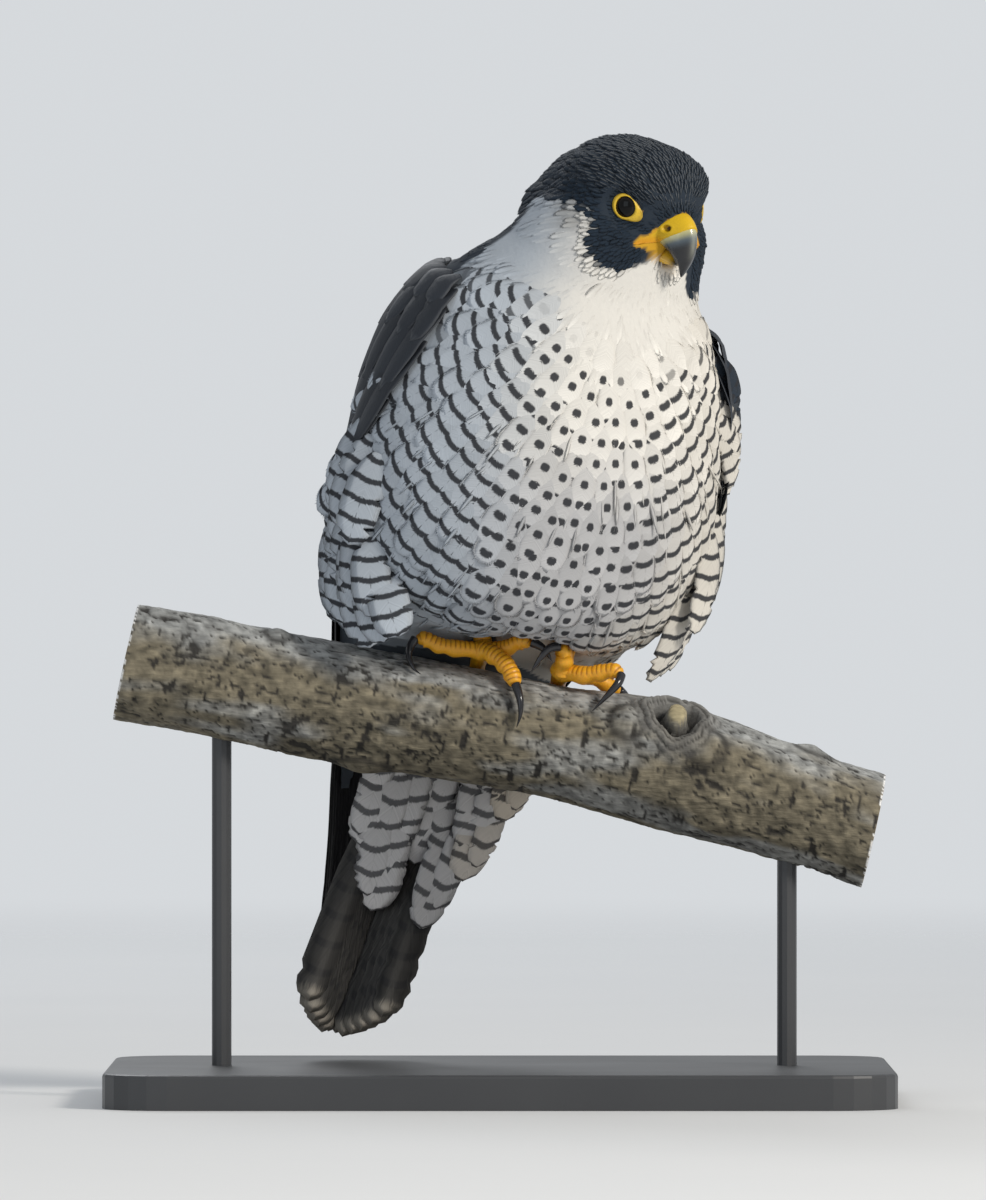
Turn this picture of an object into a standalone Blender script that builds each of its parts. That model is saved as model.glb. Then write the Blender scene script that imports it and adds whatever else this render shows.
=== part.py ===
"""A peregrine falcon, life size, perched on a short cut length of branch that a plain display stand holds up.

The bird is modelled upright in its own frame: it faces -Y, its left is +X and +Z is up along its legs. The empty
bird_stance turns and leans it onto the sloping perch, and the empty head_turn turns its head. Metres throughout.
"""

import math

import bmesh
import bpy
from mathutils import Matrix, Vector, noise

# Driving sizes of the stand and the perch
GAP = 0.0003
BASE_SIZE = Vector((0.36, 0.26, 0.016))
BASE_CORNER = 0.03
BASE_EDGE = 0.0015
ROD_RADIUS = 0.0045
ROD_X = (-0.128, 0.132)
ROD_SEAT = 0.008
SOCKET_SIDES = 12
# The perch's centre line and radius, from its left cut end to its right one: x, z, radius
PERCH_STATIONS = (
    (-0.172, 0.2020, 0.0270),
    (-0.147, 0.1972, 0.0272),
    (-0.081, 0.1846, 0.0272),
    (-0.005, 0.1706, 0.0262),
    (0.030, 0.1638, 0.0262),
    (0.066, 0.1562, 0.0290),
    (0.101, 0.1462, 0.0290),
    (0.147, 0.1325, 0.0262),
    (0.172, 0.1248, 0.0262),
)
PERCH_RINGS = 20
PERCH_SIDES = 14
BARK_RELIEF = 0.0012
FOOT_REACH = (-0.05, 0.075)

# Stance: where the bird stands, how it leans with the perch, and how far body and head turn
STANCE_PLACE = Vector((-0.0046, 0.0, 0.2001))
PERCH_SLOPE = math.radians(12.4)
BODY_TURN = math.radians(20)
HEAD_PLACE = Vector((0.0640, -0.0300, 0.4119))
HEAD_TURN = math.radians(40)
HEAD_NOD = math.radians(20)

# Rings of the trunk from neck to tail root: height, set back, tilt in degrees, half width, front and back depth
TRUNK = (
    (0.194, -0.020, 8, 0.047, 0.036, 0.038),
    (0.180, -0.012, 8, 0.061, 0.050, 0.046),
    (0.164, -0.006, 10, 0.072, 0.060, 0.053),
    (0.138, -0.001, 12, 0.082, 0.070, 0.059),
    (0.105, 0.002, 14, 0.088, 0.076, 0.061),
    (0.075, 0.006, 18, 0.089, 0.076, 0.059),
    (0.048, 0.014, 22, 0.086, 0.067, 0.053),
    (0.026, 0.026, 26, 0.075, 0.044, 0.044),
    (0.004, 0.042, 28, 0.058, 0.020, 0.032),
    (-0.018, 0.051, 22, 0.046, 0.018, 0.026),
    (-0.040, 0.057, 16, 0.037, 0.015, 0.019),
    (-0.058, 0.061, 13, 0.026, 0.010, 0.012),
)
TRUNK_SHIFT = (0.0, 0.0, 0.0, 0.0008, 0.0020, 0.0026, 0.0024, 0.0012, 0.0, 0.0, 0.0, 0.0)
NECK = (
    (0.170, -0.012, 8, 0.062, 0.050, 0.046),
    (0.188, -0.018, 8, 0.051, 0.044, 0.042),
    (0.203, -0.024, 8, 0.045, 0.038, 0.037),
    (0.218, -0.030, 8, 0.038, 0.030, 0.033),
)
NECK_SHIFT = (0.0, 0.003, 0.005, 0.008)
RING_SIDES = 32
THIGH_PLACE = Vector((0.042, -0.002, 0.042))
THIGH_SIZE = Vector((0.038, 0.048, 0.044))

# Rounded masses of the head in its own frame, which faces -Y: place and half sizes
HEAD_MASSES = (
    ((0.0, 0.006, 0.0025), (0.034, 0.036, 0.0265)),
    ((0.0, -0.006, 0.0115), (0.029, 0.0245, 0.018)),
    ((0.0, 0.024, -0.008), (0.031, 0.030, 0.028)),
    ((-0.004, 0.036, -0.020), (0.028, 0.025, 0.025)),
    ((0.0, -0.004, -0.0125), (0.034, 0.0265, 0.022)),
    ((0.0, -0.011, -0.003), (0.0155, 0.0175, 0.0140)),
    ((0.017, -0.011, 0.0105), (0.0110, 0.0155, 0.0085)),
    ((-0.017, -0.011, 0.0105), (0.0110, 0.0155, 0.0085)),
)
BODY_VOXEL = 0.0028
BODY_SMOOTHING = 5
BELLY_REST = ((0.0, -0.052, -0.0360), (0.30, 0.10, 0.10), -6)
BELLY_ARCH = ((0.014, -0.030, 0.004), (0.022, 0.028, 0.017))
ORBIT_SIZE = (0.0094, 0.0094, 0.0078)
ORBIT_REACH = 0.0110
BODY_TRIANGLES = 1700

# Eyes, lids and bill in the head's frame
EYE_PLACE = Vector((0.0152, -0.0135, 0.0037))
EYE_FACING = Vector((0.90, -0.42, 0.05)).normalized()
EYE_RADIUS = 0.0075
EYE_OPENING = 0.0051
LID_RADIUS = 0.0096
LID_DEPTH = 0.0022

# Lumps on the bark: place along the perch, turn about it in degrees, half sizes
PERCH_LUMPS = (
    (0.055, 55, (0.0075, 0.0085, 0.006)),
    (0.091, 62, (0.009, 0.008, 0.006)),
    (-0.058, 165, (0.013, 0.007, 0.006)),
    (0.138, 12, (0.008, 0.005, 0.006)),
    (-0.107, 25, (0.006, 0.005, 0.0045)),
)
KNOT_PLACE = (0.076, 38)
KNOT_PROFILE = (
    (0.0200, -0.006), (0.0190, 0.004), (0.0165, 0.0085), (0.0135, 0.0100), (0.0105, 0.0080), (0.0085, 0.0030),
    (0.0065, 0.0018), (0.0055, 0.0040), (0.0046, 0.0098), (0.0030, 0.0112),
)
TUBE_STEPS = 2
BILL_SIDES = 12
PART_BLOCK = 0.5

# Toes in millimetres in the world: centre line, radii, then the claw's own centre line
CLAW_RADIUS = 0.0022
CLAW_TAPER = {3: (1.0, 0.72, 0.22), 4: (1.0, 0.85, 0.55, 0.20), 5: (1.0, 0.9, 0.7, 0.45, 0.18)}
TOES = {
    "right": (
        ("outer", ((-9, -8, 207), (-21, -11, 208.2), (-28, -12.5, 209.5), (-34.5, -13, 212.2), (-38.2, -13, 211.2)),
         (4.3, 3.9, 3.7, 3.8, 3.3),
         ((-38.8, -13.6, 212.2), (-41.2, -15.2, 208.2), (-41.6, -17.2, 203.4), (-39.6, -19.8, 198.7),
          (-36.3, -21, 196))),
        ("middle", ((-8, -9, 207), (-2.6, -13, 204.8), (2.6, -17, 200.4), (5.7, -20, 195.4), (7.0, -22.2, 190.6)),
         (4.6, 4.3, 4.2, 3.9, 3.4),
         ((7.2, -23.6, 191.2), (9.2, -27.2, 184.5), (9.3, -28.3, 177.5), (7.6, -27.8, 171.6))),
        ("inner", ((-6, -6, 207), (3.0, -9, 208.2), (9.7, -12, 211.2), (14.2, -14, 209.8)),
         (4.3, 3.9, 3.8, 3.3),
         ((14.8, -14.6, 210.6), (19.2, -15.8, 208.2), (22.0, -16.6, 205.0), (23.9, -17.2, 201.6))),
        ("rear", ((-8, -4, 206.5), (-9.5, 7, 203.5), (-11, 17.5, 195.5), (-11.5, 23.5, 187.5)),
         (4.2, 3.8, 3.7, 3.2),
         ((-11.5, 24.6, 188.5), (-11.5, 29.4, 181.5), (-11, 30.2, 174), (-10.5, 28.6, 167.5))),
    ),
    "left": (
        ("inner", ((28.5, -8, 197.5), (29.5, -12.5, 202.5), (29.2, -15.6, 206.6), (26.6, -17.6, 207.8)),
         (4.5, 4.1, 3.8, 3.3),
         ((27.0, -18.6, 208.6), (22.6, -21, 207.6), (18.6, -22.0, 203.4), (13.8, -22.0, 196.4))),
        ("middle", ((30, -7, 197.2), (38.5, -12, 195.8), (46.0, -14.5, 196.8), (52.2, -16.5, 197.6), (55.6, -18, 195.2)),
         (4.5, 4.2, 4.0, 3.8, 3.3),
         ((55.6, -19.2, 195.6), (54.0, -22.6, 191.6), (49.1, -25, 186.2), (42.3, -24.6, 179.1))),
        ("outer", ((30, -4, 197), (40, 3, 195.4), (49, 8, 191.6), (54.5, 12, 187.4)),
         (4.2, 3.9, 3.7, 3.2),
         ((55, 12.6, 188.4), (58.4, 17, 184.6), (58.6, 22, 179.4), (57.6, 25.4, 173.6))),
        ("rear", ((29, -4, 197), (27.5, 7, 194.8), (26, 17.5, 187.2), (25.5, 23.5, 179.4)),
         (4.2, 3.8, 3.7, 3.2),
         ((25.5, 24.6, 180.4), (25.5, 29.4, 173.2), (26, 30.2, 166), (26.5, 28.6, 159.5))),
    ),
}
TARSI = {"right": ((-7.5, -6, 207.5), (-10.5, 3, 232)), "left": ((29, -6, 198.4), (33, 3, 222))}
PAD_DROP = Vector((0, 0.0006, -0.0024))
PAD_SIZE = Vector((0.0036, 0.0034, 0.0030))
HIDDEN_TOES = {("right", "rear"), ("left", "rear"), ("left", "outer")}
TOE_ROOM = 0.0062
TARSUS_RADII = (0.0042, 0.0044, 0.0058)

# Sections of the bill in millimetres in the head's frame: top forward and up, bottom forward and up, half width
BILL_UPPER = (
    (20, 8, 18, -10, 11.5), (26.5, 7.0, 21.5, -10.8, 11.2), (31.5, 5.8, 25.5, -11.8, 10.3),
    (35.5, 4.6, 29, -13, 9.3), (39.2, 2.2, 32.2, -14.6, 8.2), (42.0, -2.0, 35, -16, 7.1),
    (43.6, -7.0, 37, -17, 5.8), (43.4, -12.4, 38.2, -17.8, 4.4), (42.0, -16.8, 38.9, -19.2, 2.9),
    (40.6, -20, 39.2, -21, 1.5), (39.5, -22, 39.2, -22.1, 0.4),
)
BILL_LOWER = (
    (14, -11, 12, -19, 9.5), (20, -11.4, 18, -20, 9.0), (26, -12.4, 24, -20.4, 7.6),
    (31, -14, 29.5, -20, 5.8), (34.6, -16, 33.2, -19.2, 3.8), (36.6, -17.4, 36, -18.4, 1.6),
)
CERE_EDGE = ((38.5, 1.5), (0.69, -0.72))
NOSTRIL = (Vector((0.0090, -0.0305, -0.0010)), Vector((0.86, -0.50, 0.08)), 0.0014)

# Where the plumage is parted: a point and a facing in the head's frame and in the stance
HEAD_PLANE = ((0, 0.012, -0.027), (0, 0.16, 1))
NECK_PLANE = ((0, -0.012, 0.176), (0, -0.15, 1))
LEG_PLACE = Vector((0.046, -0.006, 0.022))
LEG_SIZE = Vector((0.036, 0.050, 0.040))

# Folded wing: rows over the trunk give height, leading and trailing angle about it, lift and thickness
WING_UPPER = (
    (0.174, 74, 150, 0.0004, 0.0020, 0.004),
    (0.160, 68, 168, 0.0012, 0.0036, 0.007),
    (0.138, 69, 175, 0.0014, 0.0045, 0.008),
    (0.105, 78, 177, 0.0008, 0.0046, 0.008),
    (0.075, 90, 177, 0.0000, 0.0046, 0.008),
    (0.048, 96, 177, 0.0005, 0.0055, 0.009),
    (0.026, 100, 176, 0.0020, 0.0065, 0.009),
)
# Rows beyond the trunk, in millimetres: outer, two middle and inner points, then the thickness
WING_LOWER = (
    ((60, 53, -2), (51, 68, -2), (32, 79, -2), (6, 84, -2), 8),
    ((48.5, 61, -36), (40, 75, -36), (24, 82, -36), (5, 86, -36), 6),
    ((39.5, 70, -68), (32, 80, -68), (19, 86, -68), (4.5, 88, -68), 4.5),
    ((31, 79, -97), (25, 86, -97), (15, 91, -97), (6, 92, -97), 3.6),
    ((24.5, 87, -122), (20, 92, -123), (14, 95, -123), (8.5, 96, -121), 3.0),
    ((20, 91.5, -143), (18, 94.5, -145), (15, 96.5, -145), (11.5, 98, -141), 2.4),
    ((17.2, 95, -155), (16.4, 96.2, -158), (15.4, 97.2, -157), (14.4, 98, -153), 1.6),
)
WING_ROWS = 12
WING_COLUMNS = 5

# Tiers of vanes on the wing's face: how many and in how many steps, root and tip along it from shoulder to point,
# for the first and the last vane, then root and tip across it, half width and lift in millimetres
WING_TIERS = (
    ("primary", 5, 4, (0.53, 0.53), (0.995, 0.74), (0.06, 0.72), (0.28, 0.80), 7.4, 0.2),
    ("secondary", 4, 3, (0.38, 0.38), (0.70, 0.58), (0.20, 0.92), (0.32, 0.90), 10.8, 0.9),
    ("greater_covert", 4, 3, (0.27, 0.28), (0.47, 0.45), (0.12, 0.89), (0.15, 0.89), 14.0, 1.5),
    ("median_covert", 4, 3, (0.17, 0.19), (0.35, 0.36), (0.13, 0.87), (0.14, 0.87), 14.0, 2.0),
    ("lesser_covert", 3, 3, (0.08, 0.10), (0.25, 0.26), (0.18, 0.82), (0.17, 0.83), 16.5, 2.5),
    ("shoulder", 2, 3, (0.01, 0.02), (0.16, 0.17), (0.28, 0.74), (0.26, 0.75), 18.0, 2.8),
)
VANE_STEPS = 3
VANE_THICK = 0.0009
VANE_TIP_THICK = 0.0006
VANE_ROLL = 6

# Tail feathers: twelve, fanned from the root line to the tip line, in millimetres
TAIL_FEATHERS = 12
TAIL_ROOT = ((1.2, 56, -40), 14.0)
TAIL_TIP = ((-4.5, 91.5, -184), 16.0)
TAIL_LENGTHS = (0.90, 0.94, 0.965, 0.985, 1.0, 0.995)
TAIL_HALF_WIDTHS = (5.5, 11.0, 12.2, 10.5, 1.8)
TAIL_STACK = 1.15

# Feathers of the flanks: side, height and angle of the root on the trunk, tip and half width in millimetres
FLANK_FEATHERS = (
    (1, (100, 84), (99, -1, 52.5), 10),
    (1, (90, 66), (86, -24, 34), 11),
    (1, (80, 92), (91, 16, 33), 11),
    (1, (66, 80), (88, 2, 15), 11),
    (1, (62, 60), (76, -8, 8), 11),
    (-1, (100, 86), (89, 8, 54), 10),
    (-1, (90, 72), (85, -14, 40), 12),
    (-1, (74, 88), (78, 22, 28), 11),
    (-1, (64, 76), (75, 6, 17), 11),
)
# Undertail coverts: root, tip and half width in millimetres, from the root of the tail down
UNDERTAIL_FEATHERS = (
    ((-14, 42, -44), (-8, 62, -100), 10.5), ((22, 38, -42), (29, 52, -86), 11.5), ((2, 42, -46), (5, 58, -92), 10),
    ((34, 36, -34), (41, 45, -70), 10), ((-17, 50, -66), (-5.5, 70, -124.5), 10.5),
    ((20, 50, -66), (19.5, 68.5, -127.5), 10.5), ((30, 46, -58), (31, 58, -101), 10),
    ((-22, 46, -50), (-21, 60, -96), 9),
)

# Tail and undertail coverts in millimetres: rows of place, half width, half thickness
TAIL_ROWS = (
    ((1, 57, -42), 17, 3.0), ((1, 61, -56), 19, 2.8), ((1.2, 66, -76), 19, 2.4), ((1.2, 70, -92), 12, 1.6),
)
COVERT_LOBES = (
    (((-15, 46, -36), 19, 8), ((-15, 53, -62), 16, 6), ((-12, 60, -88), 11, 3.6), ((-9.5, 64, -100), 5, 1.6)),
    (((19, 44, -36), 24, 8), ((23, 49, -58), 21, 7), ((23, 55, -80), 15, 4.6), ((22.5, 61, -98), 7, 2),),
)


MATERIALS = {
    "slate": ((0.045, 0.055, 0.068), 0.75),
    "white_plumage": ((0.72, 0.71, 0.68), 0.85),
    "dark_vane": ((0.035, 0.040, 0.050), 0.65),
    "yellow_skin": ((0.83, 0.46, 0.02), 0.55),
    "horn_black": ((0.02, 0.02, 0.025), 0.25),
    "horn_blue": ((0.16, 0.19, 0.22), 0.35),
    "eye_dark": ((0.01, 0.008, 0.008), 0.06),
    "bark": ((0.36, 0.31, 0.25), 0.9),
    "stand_paint": ((0.10, 0.10, 0.11), 0.45),
}


def clear_scene():
    """Removes whatever the file opened with."""
    for item in list(bpy.data.objects):
        bpy.data.objects.remove(item)


def material(name):
    """The named finish, made once."""
    found = bpy.data.materials.get(name)
    if found:
        return found
    colour, roughness = MATERIALS[name]
    made = bpy.data.materials.new(name)
    made.use_nodes = True
    shader = made.node_tree.nodes["Principled BSDF"]
    shader.inputs["Base Color"].default_value = (*colour, 1)
    shader.inputs["Roughness"].default_value = roughness
    return made


def collection(name):
    """The named collection, made once and linked to the scene."""
    found = bpy.data.collections.get(name)
    if not found:
        found = bpy.data.collections.new(name)
        bpy.context.scene.collection.children.link(found)
    return found


def frame_empty(name, matrix):
    """An empty that carries a group of parts."""
    empty = bpy.data.objects.new(name, None)
    empty.matrix_world = matrix
    collection("falcon").objects.link(empty)
    return empty


def add_object(name, mesh, parent=None, group="falcon"):
    """A mesh object in a collection, carried by an empty if one is given."""
    item = bpy.data.objects.new(name, mesh)
    collection(group).objects.link(item)
    item.parent = parent
    return item


def mesh_from(bm, name):
    """Closes a bmesh into a mesh with its faces pointing out."""
    bmesh.ops.recalc_face_normals(bm, faces=bm.faces)
    mesh = bpy.data.meshes.new(name)
    bm.to_mesh(mesh)
    bm.free()
    return mesh


def apply_modifiers(item):
    """Bakes an object's modifiers into its own mesh."""
    bpy.context.view_layer.update()
    graph = bpy.context.evaluated_depsgraph_get()
    baked = bpy.data.meshes.new_from_object(item.evaluated_get(graph))
    item.modifiers.clear()
    item.data = baked


def boolean(item, operation, others, solver="MANIFOLD"):
    """Joins or cuts an object with several others in one step, and removes those."""
    group = bpy.data.collections.new("operands")
    bpy.context.scene.collection.children.link(group)
    for other in others:
        group.objects.link(other)
    step = item.modifiers.new("step", "BOOLEAN")
    step.operation = operation
    step.solver = solver
    step.operand_type = "COLLECTION"
    step.collection = group
    apply_modifiers(item)
    for other in others:
        bpy.data.objects.remove(other)
    bpy.data.collections.remove(group)


def keep_largest(item):
    """Leaves only the largest closed surface of an object, which drops loose scraps."""
    bm = bmesh.new()
    bm.from_mesh(item.data)
    bmesh.ops.remove_doubles(bm, verts=bm.verts, dist=2e-6)
    bmesh.ops.triangulate(bm, faces=bm.faces)
    unseen = set(bm.verts)
    islands = []
    while unseen:
        queue = [unseen.pop()]
        island = set(queue)
        while queue:
            for edge in queue.pop().link_edges:
                for vert in edge.verts:
                    if vert in unseen:
                        unseen.discard(vert)
                        island.add(vert)
                        queue.append(vert)
        islands.append(island)

    def reach(island):
        xs = [vert.co for vert in island]
        return sum(max(c[k] for c in xs) - min(c[k] for c in xs) for k in range(3))

    best = max(islands, key=reach)
    loose = [vert for vert in bm.verts if vert not in best]
    bmesh.ops.delete(bm, geom=loose, context="VERTS")
    bm.to_mesh(item.data)
    bm.free()


def copy_of(item, group="cutters"):
    """A plain copy of an object for use as a cutter."""
    twin = item.copy()
    twin.data = item.data.copy()
    collection(group).objects.link(twin)
    return twin


def swollen(item, distance):
    """A copy of a closed object pushed out along its normals, used to cut a gap."""
    twin = copy_of(item)
    push = twin.modifiers.new("push", "DISPLACE")
    push.strength = distance
    push.mid_level = 0
    apply_modifiers(twin)
    return twin


def smooth_shade(item, angle=40):
    """Shades a rounded piece smooth, with its sharp edges kept."""
    item.data.shade_smooth()
    item.data.set_sharp_from_angle(angle=math.radians(angle))


def finish_node(item, finish):
    """Gives a finished node its material and shading."""
    item.data.materials.clear()
    item.data.materials.append(material(finish))
    smooth_shade(item)
    return item


def loft(name, rings, parent, group="parts_in_work"):
    """A closed skin over rings of points, with a fan at each end."""
    bm = bmesh.new()
    rows = [[bm.verts.new(p) for p in ring] for ring in rings]
    count = len(rows[0])
    for lower, upper in zip(rows, rows[1:]):
        for i in range(count):
            j = (i + 1) % count
            bm.faces.new((lower[i], lower[j], upper[j], upper[i]))
    for row in (rows[0], rows[-1]):
        middle = bm.verts.new(sum((v.co for v in row), Vector()) / count)
        for i in range(count):
            bm.faces.new((row[i], row[(i + 1) % count], middle))
    return add_object(name, mesh_from(bm, name), parent, group)


def body_ring(height, back, tilt, half_width, front_depth, back_depth, shift=0.0):
    """One oval ring of the trunk, with its front lower than its back by the tilt."""
    lean = math.radians(tilt)
    ring = []
    for i in range(RING_SIDES):
        turn = math.tau * i / RING_SIDES
        depth = front_depth if math.cos(turn) > 0 else back_depth
        forward = math.cos(turn) * depth
        side = math.sin(turn) * half_width
        place = (shift + side, back - forward * math.cos(lean), height - forward * math.sin(lean))
        ring.append(Vector(place))
    return ring


def smooth_rows(rows, steps):
    """Values between the given rows, on a smooth curve through them."""
    made = []
    last = len(rows) - 1
    for i in range(last):
        before, here = rows[max(i - 1, 0)], rows[i]
        there, after = rows[i + 1], rows[min(i + 2, last)]
        for step in range(steps):
            t = step / steps
            row = []
            for a, b, c, d in zip(before, here, there, after):
                row.append(b + t * (c - a) / 2 + t * t * (2 * a - 5 * b + 4 * c - d) / 2
                           + t * t * t * (3 * b - a - 3 * c + d) / 2)
            made.append(row)
    made.append(list(rows[-1]))
    return made


def ellipsoid(name, place, size, parent, sides=24, group="parts_in_work"):
    """A rounded mass."""
    bm = bmesh.new()
    shape = Matrix.Translation(place) @ Matrix.Diagonal((*size, 1))
    bmesh.ops.create_uvsphere(bm, u_segments=sides, v_segments=sides // 2, radius=1, matrix=shape)
    return add_object(name, mesh_from(bm, name), parent, group)


def make_body(stance, head_frame):
    """Head, neck, trunk and thighs as one rounded mass of plumage, still whole."""
    trunk_rows = [(*row, shift) for row, shift in zip(TRUNK, TRUNK_SHIFT)]
    body = loft("body", [body_ring(*row) for row in smooth_rows(trunk_rows, 3)], stance)
    neck_rows = [(*row, shift) for row, shift in zip(NECK, NECK_SHIFT)]
    masses = [loft("neck_mass", [body_ring(*row) for row in smooth_rows(neck_rows, 3)], stance)]
    for side in (-1, 1):
        place = Vector((side * THIGH_PLACE.x, THIGH_PLACE.y, THIGH_PLACE.z))
        masses.append(ellipsoid("thigh_mass", place, THIGH_SIZE, stance))
    for place, size in HEAD_MASSES:
        masses.append(ellipsoid("head_mass", place, size, head_frame))
    boolean(body, "UNION", masses)
    orbits = []
    for side in (-1, 1):
        out = Vector((EYE_FACING.x * side, EYE_FACING.y, EYE_FACING.z))
        orbit = ellipsoid("orbit", Vector((0, 0, 0)), Vector(ORBIT_SIZE), head_frame, 20)
        place = Vector((EYE_PLACE.x * side, EYE_PLACE.y, EYE_PLACE.z)) + out * ORBIT_REACH
        orbit.matrix_local = Matrix.Translation(place) @ out.to_track_quat("Z", "Y").to_matrix().to_4x4()
        orbits.append(orbit)
    boolean(body, "DIFFERENCE", orbits)
    place, size, tilt = BELLY_REST
    bm = bmesh.new()
    bmesh.ops.create_cube(bm, size=1, matrix=Matrix.Diagonal((*size, 1)))
    rest = add_object("belly_rest", mesh_from(bm, "belly_rest"), stance, "cutters")
    rest.matrix_local = Matrix.Translation(place) @ Matrix.Rotation(math.radians(tilt), 4, "X")
    place, size = BELLY_ARCH
    boolean(body, "DIFFERENCE", [rest, ellipsoid("arch", Vector(place), Vector(size), stance, 16)])
    remesh = body.modifiers.new("blend", "REMESH")
    remesh.mode = "VOXEL"
    remesh.voxel_size = BODY_VOXEL
    smooth = body.modifiers.new("settle", "SMOOTH")
    smooth.factor = 0.6
    smooth.iterations = BODY_SMOOTHING
    apply_modifiers(body)
    thin = body.modifiers.new("thin", "DECIMATE")
    thin.ratio = BODY_TRIANGLES / (2 * len(body.data.polygons))
    thin.use_collapse_triangulate = True
    apply_modifiers(body)
    return body


def tube(name, points, radii, sides, parent=None, squash=1.0, group="parts_in_work"):
    """A closed round tube along a smooth path, tapering by the radii given at its points."""
    rows = smooth_rows([(*p, r) for p, r in zip(points, radii)], TUBE_STEPS)
    rings = []
    side = None
    for i, row in enumerate(rows):
        here = Vector(row[:3])
        ahead = Vector(rows[min(i + 1, len(rows) - 1)][:3])
        behind = Vector(rows[max(i - 1, 0)][:3])
        along = (ahead - behind).normalized()
        side = along.cross(Vector((0, 0.1, 1))) if side is None else side - along * side.dot(along)
        side.normalize()
        upward = side.cross(along)
        ring = []
        for k in range(sides):
            turn = math.tau * (k + 0.5) / sides
            ring.append(here + (side * math.cos(turn) + upward * math.sin(turn) * squash) * row[3])
        rings.append(ring)
    return loft(name, rings, parent, group)


def perch_centre(x):
    """The perch's centre line and radius at a distance along it."""
    rows = PERCH_STATIONS
    for left, right in zip(rows, rows[1:]):
        if x <= right[0]:
            break
    t = (x - left[0]) / (right[0] - left[0])
    return Vector((x, 0, left[1] + t * (right[1] - left[1]))), left[2] + t * (right[2] - left[2])


def on_branch(x, turn, lift):
    """A point on or above the bark, turned from its top: positive to the front, negative to the back."""
    centre, radius = perch_centre(x)
    up = Vector((math.sin(PERCH_SLOPE), 0, math.cos(PERCH_SLOPE)))
    angle = math.radians(turn)
    return centre + (up * math.cos(angle) + Vector((0, -1, 0)) * math.sin(angle)) * (radius + lift)


def make_perch():
    """The cut length of branch, with low ridges of bark and one large knot facing the front."""
    rows = smooth_rows(PERCH_STATIONS, 3)
    step = (len(rows) - 1) / (PERCH_RINGS - 1)
    up = Vector((math.sin(PERCH_SLOPE), 0, math.cos(PERCH_SLOPE)))
    rings = []
    for i in range(PERCH_RINGS):
        x, z, radius = rows[round(i * step)]
        calm = 0.25 if FOOT_REACH[0] < x < FOOT_REACH[1] else 1.0
        ring = []
        for k in range(PERCH_SIDES):
            turn = math.tau * k / PERCH_SIDES
            spot = Vector((x * 14, math.sin(turn) * 1.3, math.cos(turn) * 1.3))
            rise = noise.noise(spot) * BARK_RELIEF * 2 + noise.noise(spot * 2.7) * BARK_RELIEF
            outward = up * math.cos(turn) - Vector((0, 1, 0)) * math.sin(turn)
            ring.append(Vector((x, 0, z)) + outward * (radius + rise * calm))
        rings.append(ring)
    perch = loft("perch_branch", rings, None)
    lumps = []
    for x, turn, size in PERCH_LUMPS:
        place = on_branch(x, turn, -size[2] * 0.35)
        lump = ellipsoid("lump", Vector((0, 0, 0)), Vector(size), None, 8)
        lump.matrix_world = outward_frame(x, turn, place)
        lumps.append(lump)
    x, turn = KNOT_PLACE
    knot = outward_frame(x, turn, on_branch(x, turn, -0.007))
    collar = revolve("knot_collar", KNOT_PROFILE, 12)
    collar.matrix_world = knot
    lumps.append(collar)
    boolean(perch, "UNION", lumps)
    return perch


def outward_frame(x, turn, place):
    """A frame on the perch whose Z points out of the bark and X along the branch."""
    outward = (place - perch_centre(x)[0]).normalized()
    along = Vector((math.cos(PERCH_SLOPE), 0, -math.sin(PERCH_SLOPE)))
    across = outward.cross(along).normalized()
    frame = Matrix((along, across, outward)).transposed().to_4x4()
    return Matrix.Translation(place) @ frame


def revolve(name, profile, sides):
    """A solid turned about Z from a profile of radius and height, closed at both ends."""
    rings = []
    for radius, height in profile:
        rings.append([Vector((radius * math.cos(math.tau * k / sides),
                              radius * math.sin(math.tau * k / sides), height)) for k in range(sides)])
    return loft(name, rings, None)


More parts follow.
